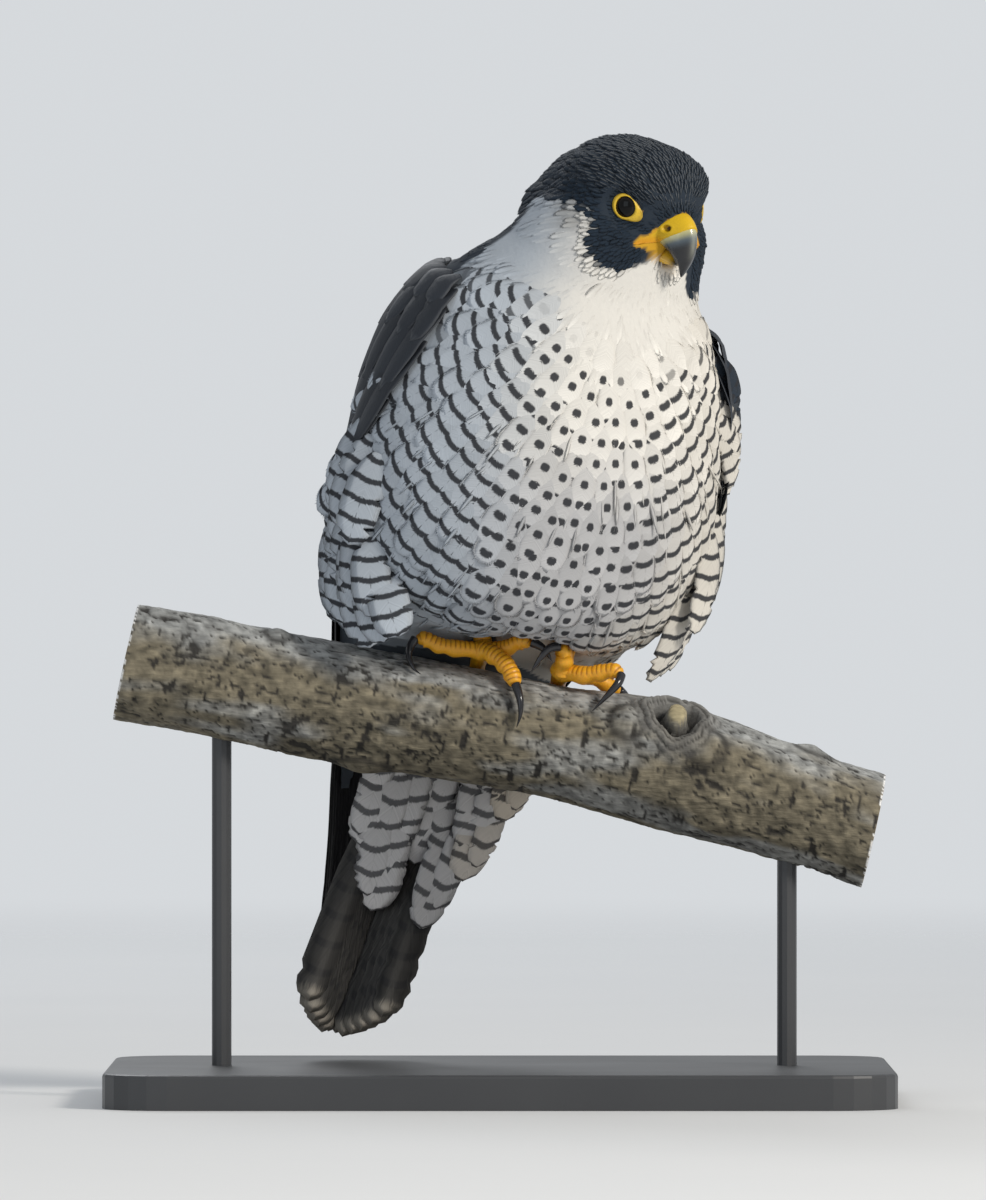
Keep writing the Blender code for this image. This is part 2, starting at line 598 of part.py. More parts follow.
def make_stand(perch):
    """The flat base with its two rods, each seated in a socket at both ends."""
    bm = bmesh.new()
    bmesh.ops.create_cube(bm, size=1, matrix=Matrix.Translation((0, 0, BASE_SIZE.z / 2))
                          @ Matrix.Diagonal((*BASE_SIZE, 1)))
    upright = [e for e in bm.edges if abs(e.verts[0].co.z - e.verts[1].co.z) > 0.001]
    bmesh.ops.bevel(bm, geom=upright, offset=BASE_CORNER, segments=5, affect="EDGES", profile=0.5)
    rims = [e for e in bm.edges if abs(e.verts[0].co.z - e.verts[1].co.z) < 1e-6
            and e.verts[0].co.z > BASE_SIZE.z / 2 and len([f for f in e.link_faces if len(f.verts) > 4])]
    bmesh.ops.bevel(bm, geom=rims, offset=BASE_EDGE, segments=2, affect="EDGES", profile=0.5)
    base = add_object("stand_base", mesh_from(bm, "stand_base"))
    base_cuts, perch_cuts = [], []
    for name, x in zip(("stand_rod_left", "stand_rod_right"), ROD_X):
        centre, radius = perch_centre(x)
        foot = BASE_SIZE.z - ROD_SEAT
        top = centre.z - radius / math.cos(PERCH_SLOPE) + ROD_SEAT
        profile = ((ROD_RADIUS - 0.0006, foot), (ROD_RADIUS, foot + 0.0006), (ROD_RADIUS, top - 0.0006),
                   (ROD_RADIUS - 0.0006, top))
        rod = revolve(name, profile, SOCKET_SIDES)
        rod.location.x = x
        collection("falcon").objects.link(rod)
        collection("parts_in_work").objects.unlink(rod)
        finish_node(rod, "stand_paint")
        wide = ROD_RADIUS + GAP
        for cuts, low, high in ((base_cuts, foot - GAP, foot + 0.05), (perch_cuts, top - 0.05, top + GAP)):
            cut = revolve("socket", ((wide, low), (wide, high)), SOCKET_SIDES)
            cut.location.x = x
            cuts.append(cut)
    boolean(base, "DIFFERENCE", base_cuts, "EXACT")
    boolean(perch, "DIFFERENCE", perch_cuts, "EXACT")
    finish_node(base, "stand_paint")
    return base


def toe_points(rows):
    """World points from a table in millimetres."""
    return [Vector(row) / 1000 for row in rows]


def make_feet():
    """Both feet, each with its toes fused at the ball and its claws apart from them."""
    feet = []
    for side, toes in TOES.items():
        foot = None
        claws = []
        others = []
        for name, toe, radii, claw in toes:
            claw_radii = [CLAW_RADIUS * f for f in CLAW_TAPER[len(claw)]]
            made = tube(f"claw_{side}_{name}", toe_points(claw), claw_radii, 6, squash=1.1)
            claws.append(made)
            piece = tube("toe", toe_points(toe), [r / 1000 for r in radii], 6)
            others.append(piece)
            for spot in [] if (side, name) in HIDDEN_TOES else toe_points(toe)[1:-1]:
                pad = ellipsoid("pad", spot + PAD_DROP, PAD_SIZE, None, 6)
                others.append(pad)
        ball, ankle = toe_points(TARSI[side])
        foot = tube(f"foot_{side}", [ankle, ankle.lerp(ball, 0.5), ball], TARSUS_RADII, 8)
        boolean(foot, "UNION", others)
        feet.append((foot, claws))
    return feet


def toe_rooms(side):
    """Plain tubes a little wider than the toes and tarsus, which clear them of the plumage."""
    ball, ankle = toe_points(TARSI[side])
    rooms = [coarse_tube([ball, ball.lerp(ankle, 0.5), ankle + (ankle - ball) * 0.03], 0.0062)]
    for name, toe, radii, claw in TOES[side]:
        if (side, name) in HIDDEN_TOES:
            rooms.append(coarse_tube(toe_points(toe + claw[1:]), TOE_ROOM))
        else:
            rooms.append(coarse_tube(toe_points(toe), TOE_ROOM))
    return rooms


def coarse_tube(points, radius):
    """A plain six-sided tube through its points."""
    rings = []
    for i, here in enumerate(points):
        along = (points[min(i + 1, len(points) - 1)] - points[max(i - 1, 0)]).normalized()
        side = along.cross(Vector((0.3, 0.2, 1))).normalized()
        upward = side.cross(along)
        rings.append([here + (side * math.cos(math.tau * k / 6) + upward * math.sin(math.tau * k / 6)) * radius
                      for k in range(6)])
    first = points[0] + (points[0] - points[1]).normalized() * radius * 0.8
    last = points[-1] + (points[-1] - points[-2]).normalized() * radius * 0.8
    shift = first - points[0]
    rings.insert(0, [point.lerp(points[0], 0.5) + shift for point in rings[0]])
    shift = last - points[-1]
    rings.append([point.lerp(points[-1], 0.5) + shift for point in rings[-1]])
    return loft("room", rings, None, "cutters")


def bill_loft(name, rows, head_frame):
    """One half of the bill, lofted over oval sections given by their top, bottom and half width."""
    rings = []
    for top_f, top_h, low_f, low_h, half in smooth_rows(rows, 1):
        ring = []
        for k in range(BILL_SIDES):
            turn = math.tau * k / BILL_SIDES
            t = (1 - math.cos(turn)) / 2
            side = math.sin(turn) * (0.62 + 0.52 * t) / (0.62 + 0.52 * 0.62)
            f = top_f + (low_f - top_f) * t
            h = top_h + (low_h - top_h) * t
            ring.append(Vector((side * half, -f, h)) / 1000)
        rings.append(ring)
    return loft(name, rings, head_frame)


def half_space(name, point, normal, parent):
    """A large block on the far side of a plane, for parting a body."""
    bm = bmesh.new()
    bmesh.ops.create_cube(bm, size=PART_BLOCK)
    item = add_object(name, mesh_from(bm, name), parent, "cutters")
    turn = Vector(normal).to_track_quat("Z", "Y").to_matrix().to_4x4()
    item.matrix_local = Matrix.Translation(Vector(point) + Vector(normal).normalized() * PART_BLOCK / 2) @ turn
    return item


def trunk_row(height):
    """The trunk's ring values at any height, on the same smooth curve as its skin."""
    rows = smooth_rows([(*row, shift) for row, shift in zip(TRUNK, TRUNK_SHIFT)], 6)
    for upper, lower in zip(rows, rows[1:]):
        if lower[0] <= height:
            break
    t = min(1, max(0, (upper[0] - height) / (upper[0] - lower[0])))
    return [a + (b - a) * t for a, b in zip(upper, lower)]


def trunk_point(height, angle, lift, side):
    """A point over one side of the trunk, turned in degrees from its front, with +X pointing to that side."""
    _, back, tilt, half_width, front_depth, back_depth, shift = trunk_row(height)
    lean = math.radians(tilt)
    turn = math.radians(angle)
    depth = (front_depth if math.cos(turn) > 0 else back_depth) + lift
    forward = math.cos(turn) * depth
    return Vector((math.sin(turn) * (half_width + lift) + shift * side, back - forward * math.cos(lean),
                   height - forward * math.sin(lean)))


def wing_table(side):
    """Control rows of one wing's outer face, with +X pointing to its side: four points each, and the thickness."""
    rows = []
    for height, lead, trail, low, high, thick in WING_UPPER:
        row = []
        for k, share in enumerate((0, 0.2, 0.9, 0.9)):
            row += list(trunk_point(height, lead + (trail - lead) * k / 3, low + (high - low) * share, side))
        rows.append(row + [thick])
    for *points, thick in WING_LOWER:
        row = []
        for point in points:
            row += [c / 1000 for c in point]
        rows.append(row + [thick / 1000])
    return rows


class Surface:
    """A smooth face through a table of points that can be asked for any spot between them."""

    def __init__(self, rows, across, side):
        self.across = across
        self.side = side
        self.rows = smooth_rows(rows, 8)

    def raw(self, s, t):
        place = min(max(s, 0), 1) * (len(self.rows) - 1)
        i = min(int(place), len(self.rows) - 2)
        f = place - i
        row = [a + (b - a) * f for a, b in zip(self.rows[i], self.rows[i + 1])]
        points = [tuple(row[3 * k:3 * k + 3]) for k in range(self.across)]
        fine = smooth_rows(points, 8)
        spot = min(max(t, 0), 1) * (len(fine) - 1)
        j = min(int(spot), len(fine) - 2)
        point = Vector(fine[j]).lerp(Vector(fine[j + 1]), spot - j)
        point.x *= self.side
        return point, row[-1]

    def at(self, s, t, lift=0.0):
        """The point, its outward normal and the thickness there, raised off the face by a lift."""
        point, thick = self.raw(s, t)
        step = 0.012
        down = self.raw(s + step, t)[0] - self.raw(s - step, t)[0]
        over = self.raw(s, t + step)[0] - self.raw(s, t - step)[0]
        normal = down.cross(over).normalized() * self.side
        return point + normal * lift, normal, thick


def shell_from(name, surface, rows, columns, parent):
    """A closed plate under a surface, as thick as the surface says."""
    bm = bmesh.new()
    outer, inner = [], []
    for i in range(rows):
        top, low = [], []
        for j in range(columns):
            point, normal, thick = surface.at(i / (rows - 1), j / (columns - 1))
            top.append(bm.verts.new(point))
            low.append(bm.verts.new(point - normal * thick))
        outer.append(top)
        inner.append(low)
    for i in range(rows - 1):
        for j in range(columns - 1):
            bm.faces.new((outer[i][j], outer[i][j + 1], outer[i + 1][j + 1], outer[i + 1][j]))
            bm.faces.new((inner[i][j], inner[i + 1][j], inner[i + 1][j + 1], inner[i][j + 1]))
    rim = [(0, j) for j in range(columns)] + [(i, columns - 1) for i in range(1, rows)]
    rim += [(rows - 1, j) for j in reversed(range(columns - 1))] + [(i, 0) for i in reversed(range(1, rows - 1))]
    for (i, j), (k, m) in zip(rim, rim[1:] + rim[:1]):
        bm.faces.new((outer[i][j], inner[i][j], inner[k][m], outer[k][m]))
    bmesh.ops.triangulate(bm, faces=bm.faces)
    return add_object(name, mesh_from(bm, name), parent, "parts_in_work")


def vane(name, centres, outs, halves, parent, roll=0.0, thick=None):
    """One closed feather vane along its shaft, thinner at the tip, with one edge raised over its neighbour."""
    bm = bmesh.new()
    rows = []
    last = len(centres) - 1
    turn = math.radians(roll)
    for i, (centre, out, half) in enumerate(zip(centres, outs, halves)):
        along = (centres[min(i + 1, last)] - centres[max(i - 1, 0)]).normalized()
        across = out.cross(along).normalized()
        upward = along.cross(across)
        share = i / last
        depth = (thick or VANE_THICK) * (1 - share) + VANE_TIP_THICK * share
        side = across * math.cos(turn) + upward * math.sin(turn)
        top = upward * math.cos(turn) - across * math.sin(turn)
        ring = (centre - side * half + top * depth / 2, centre + side * half + top * depth / 2,
                centre + side * half - top * depth / 2, centre - side * half - top * depth / 2)
        rows.append([bm.verts.new(point) for point in ring])
    for lower, upper in zip(rows, rows[1:]):
        bm.faces.new((lower[0], lower[1], upper[0]))
        bm.faces.new((lower[1], upper[1], upper[0]))
        bm.faces.new((lower[3], upper[3], lower[2]))
        bm.faces.new((upper[3], upper[2], lower[2]))
        for a, b in ((1, 2), (3, 0)):
            bm.faces.new((lower[a], lower[b], upper[b]))
            bm.faces.new((lower[a], upper[b], upper[a]))
    for row in (rows[0], rows[-1]):
        bm.faces.new((row[0], row[1], row[3]))
        bm.faces.new((row[1], row[2], row[3]))
    return add_object(name, mesh_from(bm, name), parent, "parts_in_work")


def vane_shares(steps):
    """Places of a vane's rings along it, closer together near its tip."""
    return [1 - (1 - i / steps) ** 1.4 for i in range(steps + 1)]


def rounded_halves(half, steps):
    """Half widths along a vane: narrower at the root, full in the middle and rounded at the tip."""
    halves = []
    for share in vane_shares(steps):
        root = 0.55 + 0.45 * min(1, share / 0.35)
        tip = math.sqrt(max(0.03, 1 - max(0, (share - 0.62) / 0.38) ** 2))
        halves.append(half * root * tip)
    return halves


def wing_feathers(surface, side, stance):
    """The wing's tiers of vanes over its face, each tier's tips lying over the roots of the one below."""
    made = []
    for name, count, steps, starts, ends, over, over_tip, half, lift in WING_TIERS:
        for j in range(count):
            share = j / (count - 1)
            s0 = starts[0] + (starts[1] - starts[0]) * share
            s1 = ends[0] + (ends[1] - ends[0]) * share
            t0 = over[0] + (over[1] - over[0]) * share
            t1 = over_tip[0] + (over_tip[1] - over_tip[0]) * share
            centres, outs = [], []
            for k in vane_shares(steps):
                rise = (-1.6 + (lift + 1.9) * min(1, k / 0.45)) / 1000
                point, out, _ = surface.at(s0 + (s1 - s0) * k, t0 + (t1 - t0) * k, rise)
                centres.append(point)
                outs.append(out)
            halves = rounded_halves(half / 1000, steps)
            made.append(vane(name, centres, outs, halves, stance, VANE_ROLL * side))
    return made


def tail_feathers(stance):
    """The tail's fan, the middle pair on the back face and each outer pair further to the front."""
    made = []
    root, root_span = Vector(TAIL_ROOT[0]), TAIL_ROOT[1]
    tip, tip_span = Vector(TAIL_TIP[0]), TAIL_TIP[1]
    along = (tip - root).normalized()
    front = Vector((1, 0, 0)).cross(along).normalized()
    if front.y > 0:
        front.negate()
    for j in range(TAIL_FEATHERS):
        level = abs(j - (TAIL_FEATHERS - 1) / 2) + (0.25 if j * 2 > TAIL_FEATHERS else -0.25)
        place = (j - (TAIL_FEATHERS - 1) / 2) / ((TAIL_FEATHERS - 1) / 2)
        pair = round(abs(j - (TAIL_FEATHERS - 1) / 2) - 0.5)
        length = TAIL_LENGTHS[len(TAIL_LENGTHS) - 1 - pair]
        start = root + Vector((root_span * place, 0, 0)) + front * level * TAIL_STACK
        end = root + (tip - root) * length + Vector((tip_span * place, 0, 0)) + front * level * TAIL_STACK
        shares = [0, 0.4, 0.74, 0.93, 1]
        centres = [start.lerp(end, share) / 1000 for share in shares]
        halves = [w / 1000 for w in TAIL_HALF_WIDTHS]
        roll = -2.5 if place > 0 else 2.5
        made.append(vane("rectrix", centres, [-front] * len(centres), halves, stance, roll))
    return made


def tail_room(stance):
    """A plain block around the back of the tail, which keeps the wings a hair behind it."""
    root, tip = Vector(TAIL_ROOT[0]), Vector(TAIL_TIP[0])
    along = (tip - root).normalized()
    back = along.cross(Vector((1, 0, 0))).normalized()
    if back.y < 0:
        back.negate()
    rings = []
    for share, half, rise in ((-0.06, 20, 2.4), (0.35, 27, 1.9), (1.1, 34, 1.9)):
        centre = root + (tip - root) * share
        low, high = centre - back * 26, centre + back * rise
        side = Vector((half, 0, 0))
        rings.append([point / 1000 for point in (low - side, low + side, high + side, high - side)])
    return loft("tail_room", rings, stance, "cutters")


def flank_feathers(stance):
    """Long flank feathers that hang from the sides of the trunk over wing and thigh."""
    made = {"left": [], "right": []}
    for side, root, tip, half in FLANK_FEATHERS:
        start = trunk_point(root[0] / 1000, root[1], -0.0018, side)
        end = Vector(tip) / 1000
        bow = Vector((0.7, -0.7, 0)) * 0.0030
        centres, outs = [], []
        for k in vane_shares(VANE_STEPS):
            point = start.lerp(end, k) + bow * math.sin(math.pi * k)
            centres.append(Vector((point.x * side, point.y, point.z)))
            outs.append(Vector((point.x * side, point.y - 0.012, 0)).normalized())
        halves = rounded_halves(half / 1000, VANE_STEPS)
        feather = vane("flank_feather", centres, outs, halves, stance, 7 * side, 0.0011)
        made["left" if side > 0 else "right"].append(feather)
    return made


def undertail_feathers(stance):
    """Broad undertail coverts in tiers over a core that reaches half way to their tips."""
    made = []
    for root, tip, half in UNDERTAIL_FEATHERS:
        start, end = Vector(root), Vector(tip)
        centres = []
        for k in vane_shares(VANE_STEPS):
            centres.append((start.lerp(end, k) + Vector((0, -1, 0)) * 2.5 * math.sin(math.pi * k)) / 1000)
        halves = rounded_halves(half / 1000, VANE_STEPS)
        outs = [Vector((0.25 * (start.x - 4) / 20, -1, -0.2)).normalized()] * len(centres)
        made.append(vane("undertail_feather", centres, outs, halves, stance, 5 if start.x > 4 else -5, 0.0012))
    return made


def flat_tube(name, rows, sides, droop, parent):
    """A flattened lobe lofted over places with a half width and a half thickness, its edges drooping forward."""
    table = [(*place, half, thick) for place, half, thick in rows]
    rings = []
    fine = smooth_rows(table, 2)
    for i, row in enumerate(fine):
        ahead = Vector(fine[min(i + 1, len(fine) - 1)][:3])
        behind = Vector(fine[max(i - 1, 0)][:3])
        along = (ahead - behind).normalized()
        outward = Vector((1, 0, 0)).cross(along).normalized()
        if outward.y > 0:
            outward.negate()
        ring = []
        for k in range(sides):
            turn = math.tau * k / sides
            across = math.cos(turn)
            bend = across * across * droop * row[3] / 30
            place = Vector(row[:3]) + Vector((across * row[3], 0, 0))
            ring.append((place + outward * (math.sin(turn) * row[4] + bend)) / 1000)
        rings.append(ring)
    return loft(name, rings, parent)


def move_to_falcon(item):
    """Moves a finished piece out of the work collection."""
    for group in list(item.users_collection):
        group.objects.unlink(item)
    collection("falcon").objects.link(item)


def part_body(body, stance, head_frame):
    """Parts the plumage into head, neck, torso and legs, each a hair apart from the next."""
    half = GAP / 2
    spots = ((head_frame, HEAD_PLANE), (stance, NECK_PLANE))
    walls = []
    for parent, (point, facing) in spots:
        facing = Vector(facing).normalized()
        walls.append((parent, Vector(point), facing))
    pieces = {}

    def keep(name, limits):
        piece = copy_of(body, "parts_in_work")
        piece.name = name
        for index, direction in limits:
            parent, point, facing = walls[index]
            block = half_space("block", point + facing * half * direction, facing * direction, parent)
            boolean(piece, "INTERSECT", [block])
        pieces[name] = piece
        return piece

    keep("head", ((0, 1),))
    keep("neck", ((0, -1), (1, 1)))
    torso = keep("torso", ((1, -1),))
    for name, side in (("leg_left", 1), ("leg_right", -1)):
        place = Vector((side * LEG_PLACE.x, LEG_PLACE.y, LEG_PLACE.z))
        leg = copy_of(torso, "parts_in_work")
        leg.name = name
        boolean(leg, "INTERSECT", [ellipsoid("leg_block", place, LEG_SIZE, stance, 14, "cutters")])
        keep_largest(leg)
        pieces[name] = leg
    for side in (1, -1):
        place = Vector((side * LEG_PLACE.x, LEG_PLACE.y, LEG_PLACE.z))
        room = LEG_SIZE + Vector((GAP, GAP, GAP))
        boolean(torso, "DIFFERENCE", [ellipsoid("leg_room", place, room, stance, 14, "cutters")])
    for piece in pieces.values():
        keep_largest(piece)
    return pieces


def make_face(head, head_frame):
    """Eyes, lids, cere and both halves of the bill, with their beds cut into the head."""
    made = {}
    upper = bill_loft("bill_upper", BILL_UPPER, head_frame)
    lower = bill_loft("bill_lower", BILL_LOWER, head_frame)
    boolean(lower, "DIFFERENCE", [swollen(upper, GAP)])
    keep_largest(lower)
    for beak in (upper, lower):
        boolean(head, "DIFFERENCE", [swollen(beak, GAP)])
    place, facing, radius = NOSTRIL
    drills = []
    for side in (-1, 1):
        drill = revolve("nostril", ((radius, -0.004), (radius, 0.006)), 10)
        drill.parent = head_frame
        out = Vector((facing.x * side, facing.y, facing.z))
        turn = out.to_track_quat("Z", "Y").to_matrix().to_4x4()
        drill.matrix_local = Matrix.Translation((place.x * side, place.y, place.z)) @ turn
        drills.append(drill)
    boolean(upper, "DIFFERENCE", drills)
    (edge_f, edge_h), (face_f, face_h) = CERE_EDGE
    point = Vector((0, -edge_f / 1000, edge_h / 1000))
    facing = Vector((0, -face_f, face_h)).normalized()
    cere = copy_of(upper, "parts_in_work")
    cere.name = "cere"
    boolean(cere, "INTERSECT", [half_space("block", point - facing * GAP / 2, -facing, head_frame)])
    boolean(upper, "INTERSECT", [half_space("block", point + facing * GAP / 2, facing, head_frame)])
    for item in (cere, upper):
        keep_largest(item)
    made.update(cere=cere, bill_upper=upper, bill_lower=lower)
    for side, name in ((1, "left"), (-1, "right")):
        place = Vector((EYE_PLACE.x * side, EYE_PLACE.y, EYE_PLACE.z))
        out = Vector((EYE_FACING.x * side, EYE_FACING.y, EYE_FACING.z))
        turn = Matrix.Translation(place) @ out.to_track_quat("Z", "Y").to_matrix().to_4x4()
        eye = ball_about(f"eye_{name}", turn, EYE_RADIUS, 12, head_frame)
        lid = ball_about(f"eyelid_{name}", turn, LID_RADIUS, 16, head_frame)
        room = ball_about("room", turn, LID_RADIUS + GAP, 16, head_frame)
        boolean(head, "DIFFERENCE", [room])
        opening = revolve("opening", ((EYE_OPENING, 0), (EYE_OPENING + 0.0006, 0.012)), 16)
        opening.parent = head_frame
        opening.matrix_local = turn
        boolean(lid, "DIFFERENCE", [ball_about("inside", turn, EYE_RADIUS + GAP, 12, head_frame)])
        boolean(lid, "DIFFERENCE", [opening])
        front = half_space("block", place + out * LID_DEPTH, out, head_frame)
        boolean(lid, "INTERSECT", [front])
        keep_largest(lid)
        made[eye.name] = eye
        made[lid.name] = lid
    keep_largest(head)
    return made


def ball_about(name, matrix, radius, sides, parent):
    """A ball whose pole faces along the Z of a matrix."""
    ball = ellipsoid(name, Vector((0, 0, 0)), Vector((radius, radius, radius)), parent, sides)
    ball.matrix_local = matrix
    return ball


def main():
    clear_scene()
    lean = Matrix.Rotation(PERCH_SLOPE, 4, "Y")
    stance_matrix = Matrix.Translation(STANCE_PLACE) @ lean @ Matrix.Rotation(BODY_TURN, 4, "Z")
    stance = frame_empty("bird_stance", stance_matrix)
    nod = Matrix.Rotation(HEAD_NOD, 4, "X")
    head_matrix = Matrix.Translation(HEAD_PLACE) @ Matrix.Rotation(HEAD_TURN, 4, "Z") @ nod
    head_frame = frame_empty("head_turn", head_matrix)
    perch = make_perch()
    make_stand(perch)
    body = make_body(stance, head_frame)
    boolean(body, "DIFFERENCE", [swollen(perch, GAP)])
    keep_largest(body)
    pieces = part_body(body, stance, head_frame)
    pieces.update(make_face(pieces["head"], head_frame))
    finishes = {"cere": "yellow_skin", "bill_upper": "horn_blue", "bill_lower": "horn_blue",
                "eye_left": "eye_dark", "eye_right": "eye_dark", "eyelid_left": "yellow_skin",
                "eyelid_right": "yellow_skin", "head": "slate"}
    for foot, claws in make_feet():
        for claw in claws:
            boolean(claw, "DIFFERENCE", [swollen(perch, GAP)])
            keep_largest(claw)
            pieces[claw.name] = claw
            finishes[claw.name] = "horn_black"
        boolean(foot, "DIFFERENCE", [swollen(perch, GAP)] + [swollen(claw, GAP) for claw in claws])
        keep_largest(foot)
        pieces[foot.name] = foot
        finishes[foot.name] = "yellow_skin"
        side = foot.name.removeprefix("foot_")
        for name in ("torso", f"leg_{side}"):
            boolean(pieces[name], "DIFFERENCE", toe_rooms(side))
            keep_largest(pieces[name])
    coverts = None
    for rows in COVERT_LOBES:
        lobe = flat_tube("undertail_coverts", rows, 10, 0, stance)
        if coverts:
            boolean(coverts, "UNION", [lobe])
        else:
            coverts = lobe
    boolean(coverts, "UNION", undertail_feathers(stance))
    boolean(coverts, "DIFFERENCE", [swollen(body, GAP), swollen(perch, GAP)])
    keep_largest(coverts)
    tail = flat_tube("tail", TAIL_ROWS, 10, 0, stance)
    boolean(tail, "UNION", tail_feathers(stance))
    boolean(tail, "DIFFERENCE", [swollen(body, GAP), swollen(coverts, GAP)])
    keep_largest(tail)
    pieces.update(undertail_coverts=coverts, tail=tail)
    finishes["tail"] = "dark_vane"
    flanks = flank_feathers(stance)
    for name, side in (("wing_left", 1), ("wing_right", -1)):
        face = Surface(wing_table(side), 4, side)
        wing = shell_from(name, face, WING_ROWS, WING_COLUMNS, stance)
        recess = swollen(wing, GAP)
        feathers = wing_feathers(face, side, stance)
        boolean(feathers[0], "UNION", feathers[1:])
        boolean(feathers[0], "DIFFERENCE", [swollen(body, GAP)])
        boolean(wing, "UNION", feathers[:1])
        boolean(wing, "DIFFERENCE", [tail_room(stance)])
        keep_largest(wing)
        for part in ("torso", "neck", "leg_left", "leg_right"):
            boolean(pieces[part], "DIFFERENCE", [copy_of(recess)])
            keep_largest(pieces[part])
        bpy.data.objects.remove(recess)
        pieces[name] = wing
        finishes[name] = "dark_vane"
    for side, feathers in flanks.items():
        for name in (f"wing_{side}", f"leg_{side}"):
            boolean(pieces[name], "DIFFERENCE", [swollen(feather, GAP) for feather in feathers])
            keep_largest(pieces[name])
        boolean(pieces["torso"], "UNION", feathers)
    keep_largest(pieces["torso"])
    for name, piece in pieces.items():
        move_to_falcon(piece)
        finish_node(piece, finishes.get(name, "white_plumage"))
    move_to_falcon(perch)
    finish_node(perch, "bark")
    bpy.data.objects.remove(body)
    for group in ("cutters", "parts_in_work"):
        for item in list(collection(group).objects):
            bpy.data.objects.remove(item)
        bpy.data.collections.remove(collection(group))


main()
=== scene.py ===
# %% [markdown]
# # A perched peregrine falcon, dressed over its solids
#
# The solids of the bird, its perch and its stand come in as a fixed frame. This notebook covers them with what the
# eye looks for: a seamless skin, thousands of feathers that follow the lie of the plumage, a horny bill, wet eyes,
# scaled yellow toes, glossy claws and weathered bark. Each step says what the real thing is, and why it is made
# the way it is here.

# %% Load the frame
import math

import bmesh
import bpy
import numpy as np
from mathutils import Matrix, Vector, kdtree, noise
from mathutils.bvhtree import BVHTree


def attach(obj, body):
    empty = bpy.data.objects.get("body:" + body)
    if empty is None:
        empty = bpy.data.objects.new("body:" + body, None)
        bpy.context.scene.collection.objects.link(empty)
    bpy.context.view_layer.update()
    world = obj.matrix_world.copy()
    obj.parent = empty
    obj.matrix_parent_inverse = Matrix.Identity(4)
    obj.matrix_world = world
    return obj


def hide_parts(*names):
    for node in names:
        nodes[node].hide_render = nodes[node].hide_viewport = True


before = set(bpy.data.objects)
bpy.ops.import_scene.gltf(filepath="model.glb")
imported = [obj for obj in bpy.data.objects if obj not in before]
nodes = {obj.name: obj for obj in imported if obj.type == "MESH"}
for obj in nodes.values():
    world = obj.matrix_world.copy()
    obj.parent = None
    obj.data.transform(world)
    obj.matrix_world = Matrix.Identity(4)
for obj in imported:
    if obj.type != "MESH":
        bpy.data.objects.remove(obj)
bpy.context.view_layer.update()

# %% [markdown]
# ## Camera, floor and light
#
# The bird was seen from far away through a long lens, level with its belly. A camera six metres off with a lens of
# about 390 mm gives the same flat perspective. The floor is a pale disc that fades out, so that no horizon cuts the
# picture, and the light is a large warm softbox at the right with a cooler, weaker one at the left.

# %% Camera
VIEW_DISTANCE = 6.0
VIEW_HEIGHT = 0.552
VIEW_CENTRE = Vector((-0.0032, 0.0, 0.230))

scene = bpy.context.scene
lens = bpy.data.cameras.new("long_lens")
lens.lens = 36 * VIEW_DISTANCE / VIEW_HEIGHT
lens.clip_end = 60
camera = bpy.data.objects.new("long_lens", lens)
camera.location = VIEW_CENTRE + Vector((0, -VIEW_DISTANCE, 0))
camera.rotation_euler = (math.pi / 2, 0, 0)
scene.collection.objects.link(camera)
scene.camera = camera
scene.view_settings.view_transform = "Standard"
print("lens:", round(lens.lens, 1), "mm")


# %% Helpers for materials
def new_material(name, roughness=0.6, **sockets):
    """A material with a Principled BSDF, and constant values set on its own sockets."""
    made = bpy.data.materials.new(name)
    made.use_nodes = True
    shader = made.node_tree.nodes["Principled BSDF"]
    shader.inputs["Roughness"].default_value = roughness
    for socket, value in sockets.items():
        shader.inputs[socket.replace("_", " ")].default_value = value
    return made, made.node_tree, shader


def add(tree, kind, settings=None, **inputs):
    """Adds a node, sets its properties, and fills or links its inputs by name or number."""
    node = tree.nodes.new(kind)
    for key, value in (settings or {}).items():
        setattr(node, key, value)
    for key, value in inputs.items():
        plug(tree, node, key, value)
    return node


def plug(tree, node, key, value):
    """Fills one input: a socket is linked, anything else becomes its value."""
    socket = node.inputs[int(key[1:])] if key[1:].isdigit() and key[0] == "i" else node.inputs[key]
    if isinstance(value, bpy.types.NodeSocket):
        tree.links.new(value, socket)
    else:
        socket.default_value = value


def maths(tree, operation, a, b=0.0, c=0.0):
    node = add(tree, "ShaderNodeMath", {"operation": operation}, i0=a, i1=b)
    if operation == "MULTIPLY_ADD":
        plug(tree, node, "i2", c)
    return node.outputs[0]


def vector_maths(tree, operation, a, b=(0, 0, 0), output="Vector"):
    return add(tree, "ShaderNodeVectorMath", {"operation": operation}, i0=a, i1=b).outputs[output]


def blend_colours(tree, factor, a, b, mode="MIX"):
    settings = {"data_type": "RGBA", "blend_type": mode, "clamp_result": False}
    return add(tree, "ShaderNodeMix", settings, i0=factor, i6=a, i7=b).outputs[2]


def grey_level(tree, level):
    """A grey colour of some level, to multiply another colour by."""
    return add(tree, "ShaderNodeCombineXYZ", None, X=level, Y=level, Z=level).outputs[0]


def noise_at(tree, where, scale, detail):
    return add(tree, "ShaderNodeTexNoise", None, Vector=where, Scale=scale, Detail=detail).outputs["Fac"]


def noise_along(tree, place):
    """Noise over a single number, one unit wide."""
    settings = {"noise_dimensions": "1D"}
    return add(tree, "ShaderNodeTexNoise", settings, W=place, Scale=1.0, Detail=1.0).outputs[0]


def object_place(tree):
    return add(tree, "ShaderNodeTexCoord").outputs["Object"]


def relief(tree, strength, distance, height, **inputs):
    return add(tree, "ShaderNodeBump", None, Strength=strength, Distance=distance, Height=height, **inputs).outputs[0]


def one_less(tree, value):
    return maths(tree, "SUBTRACT", 1.0, value)


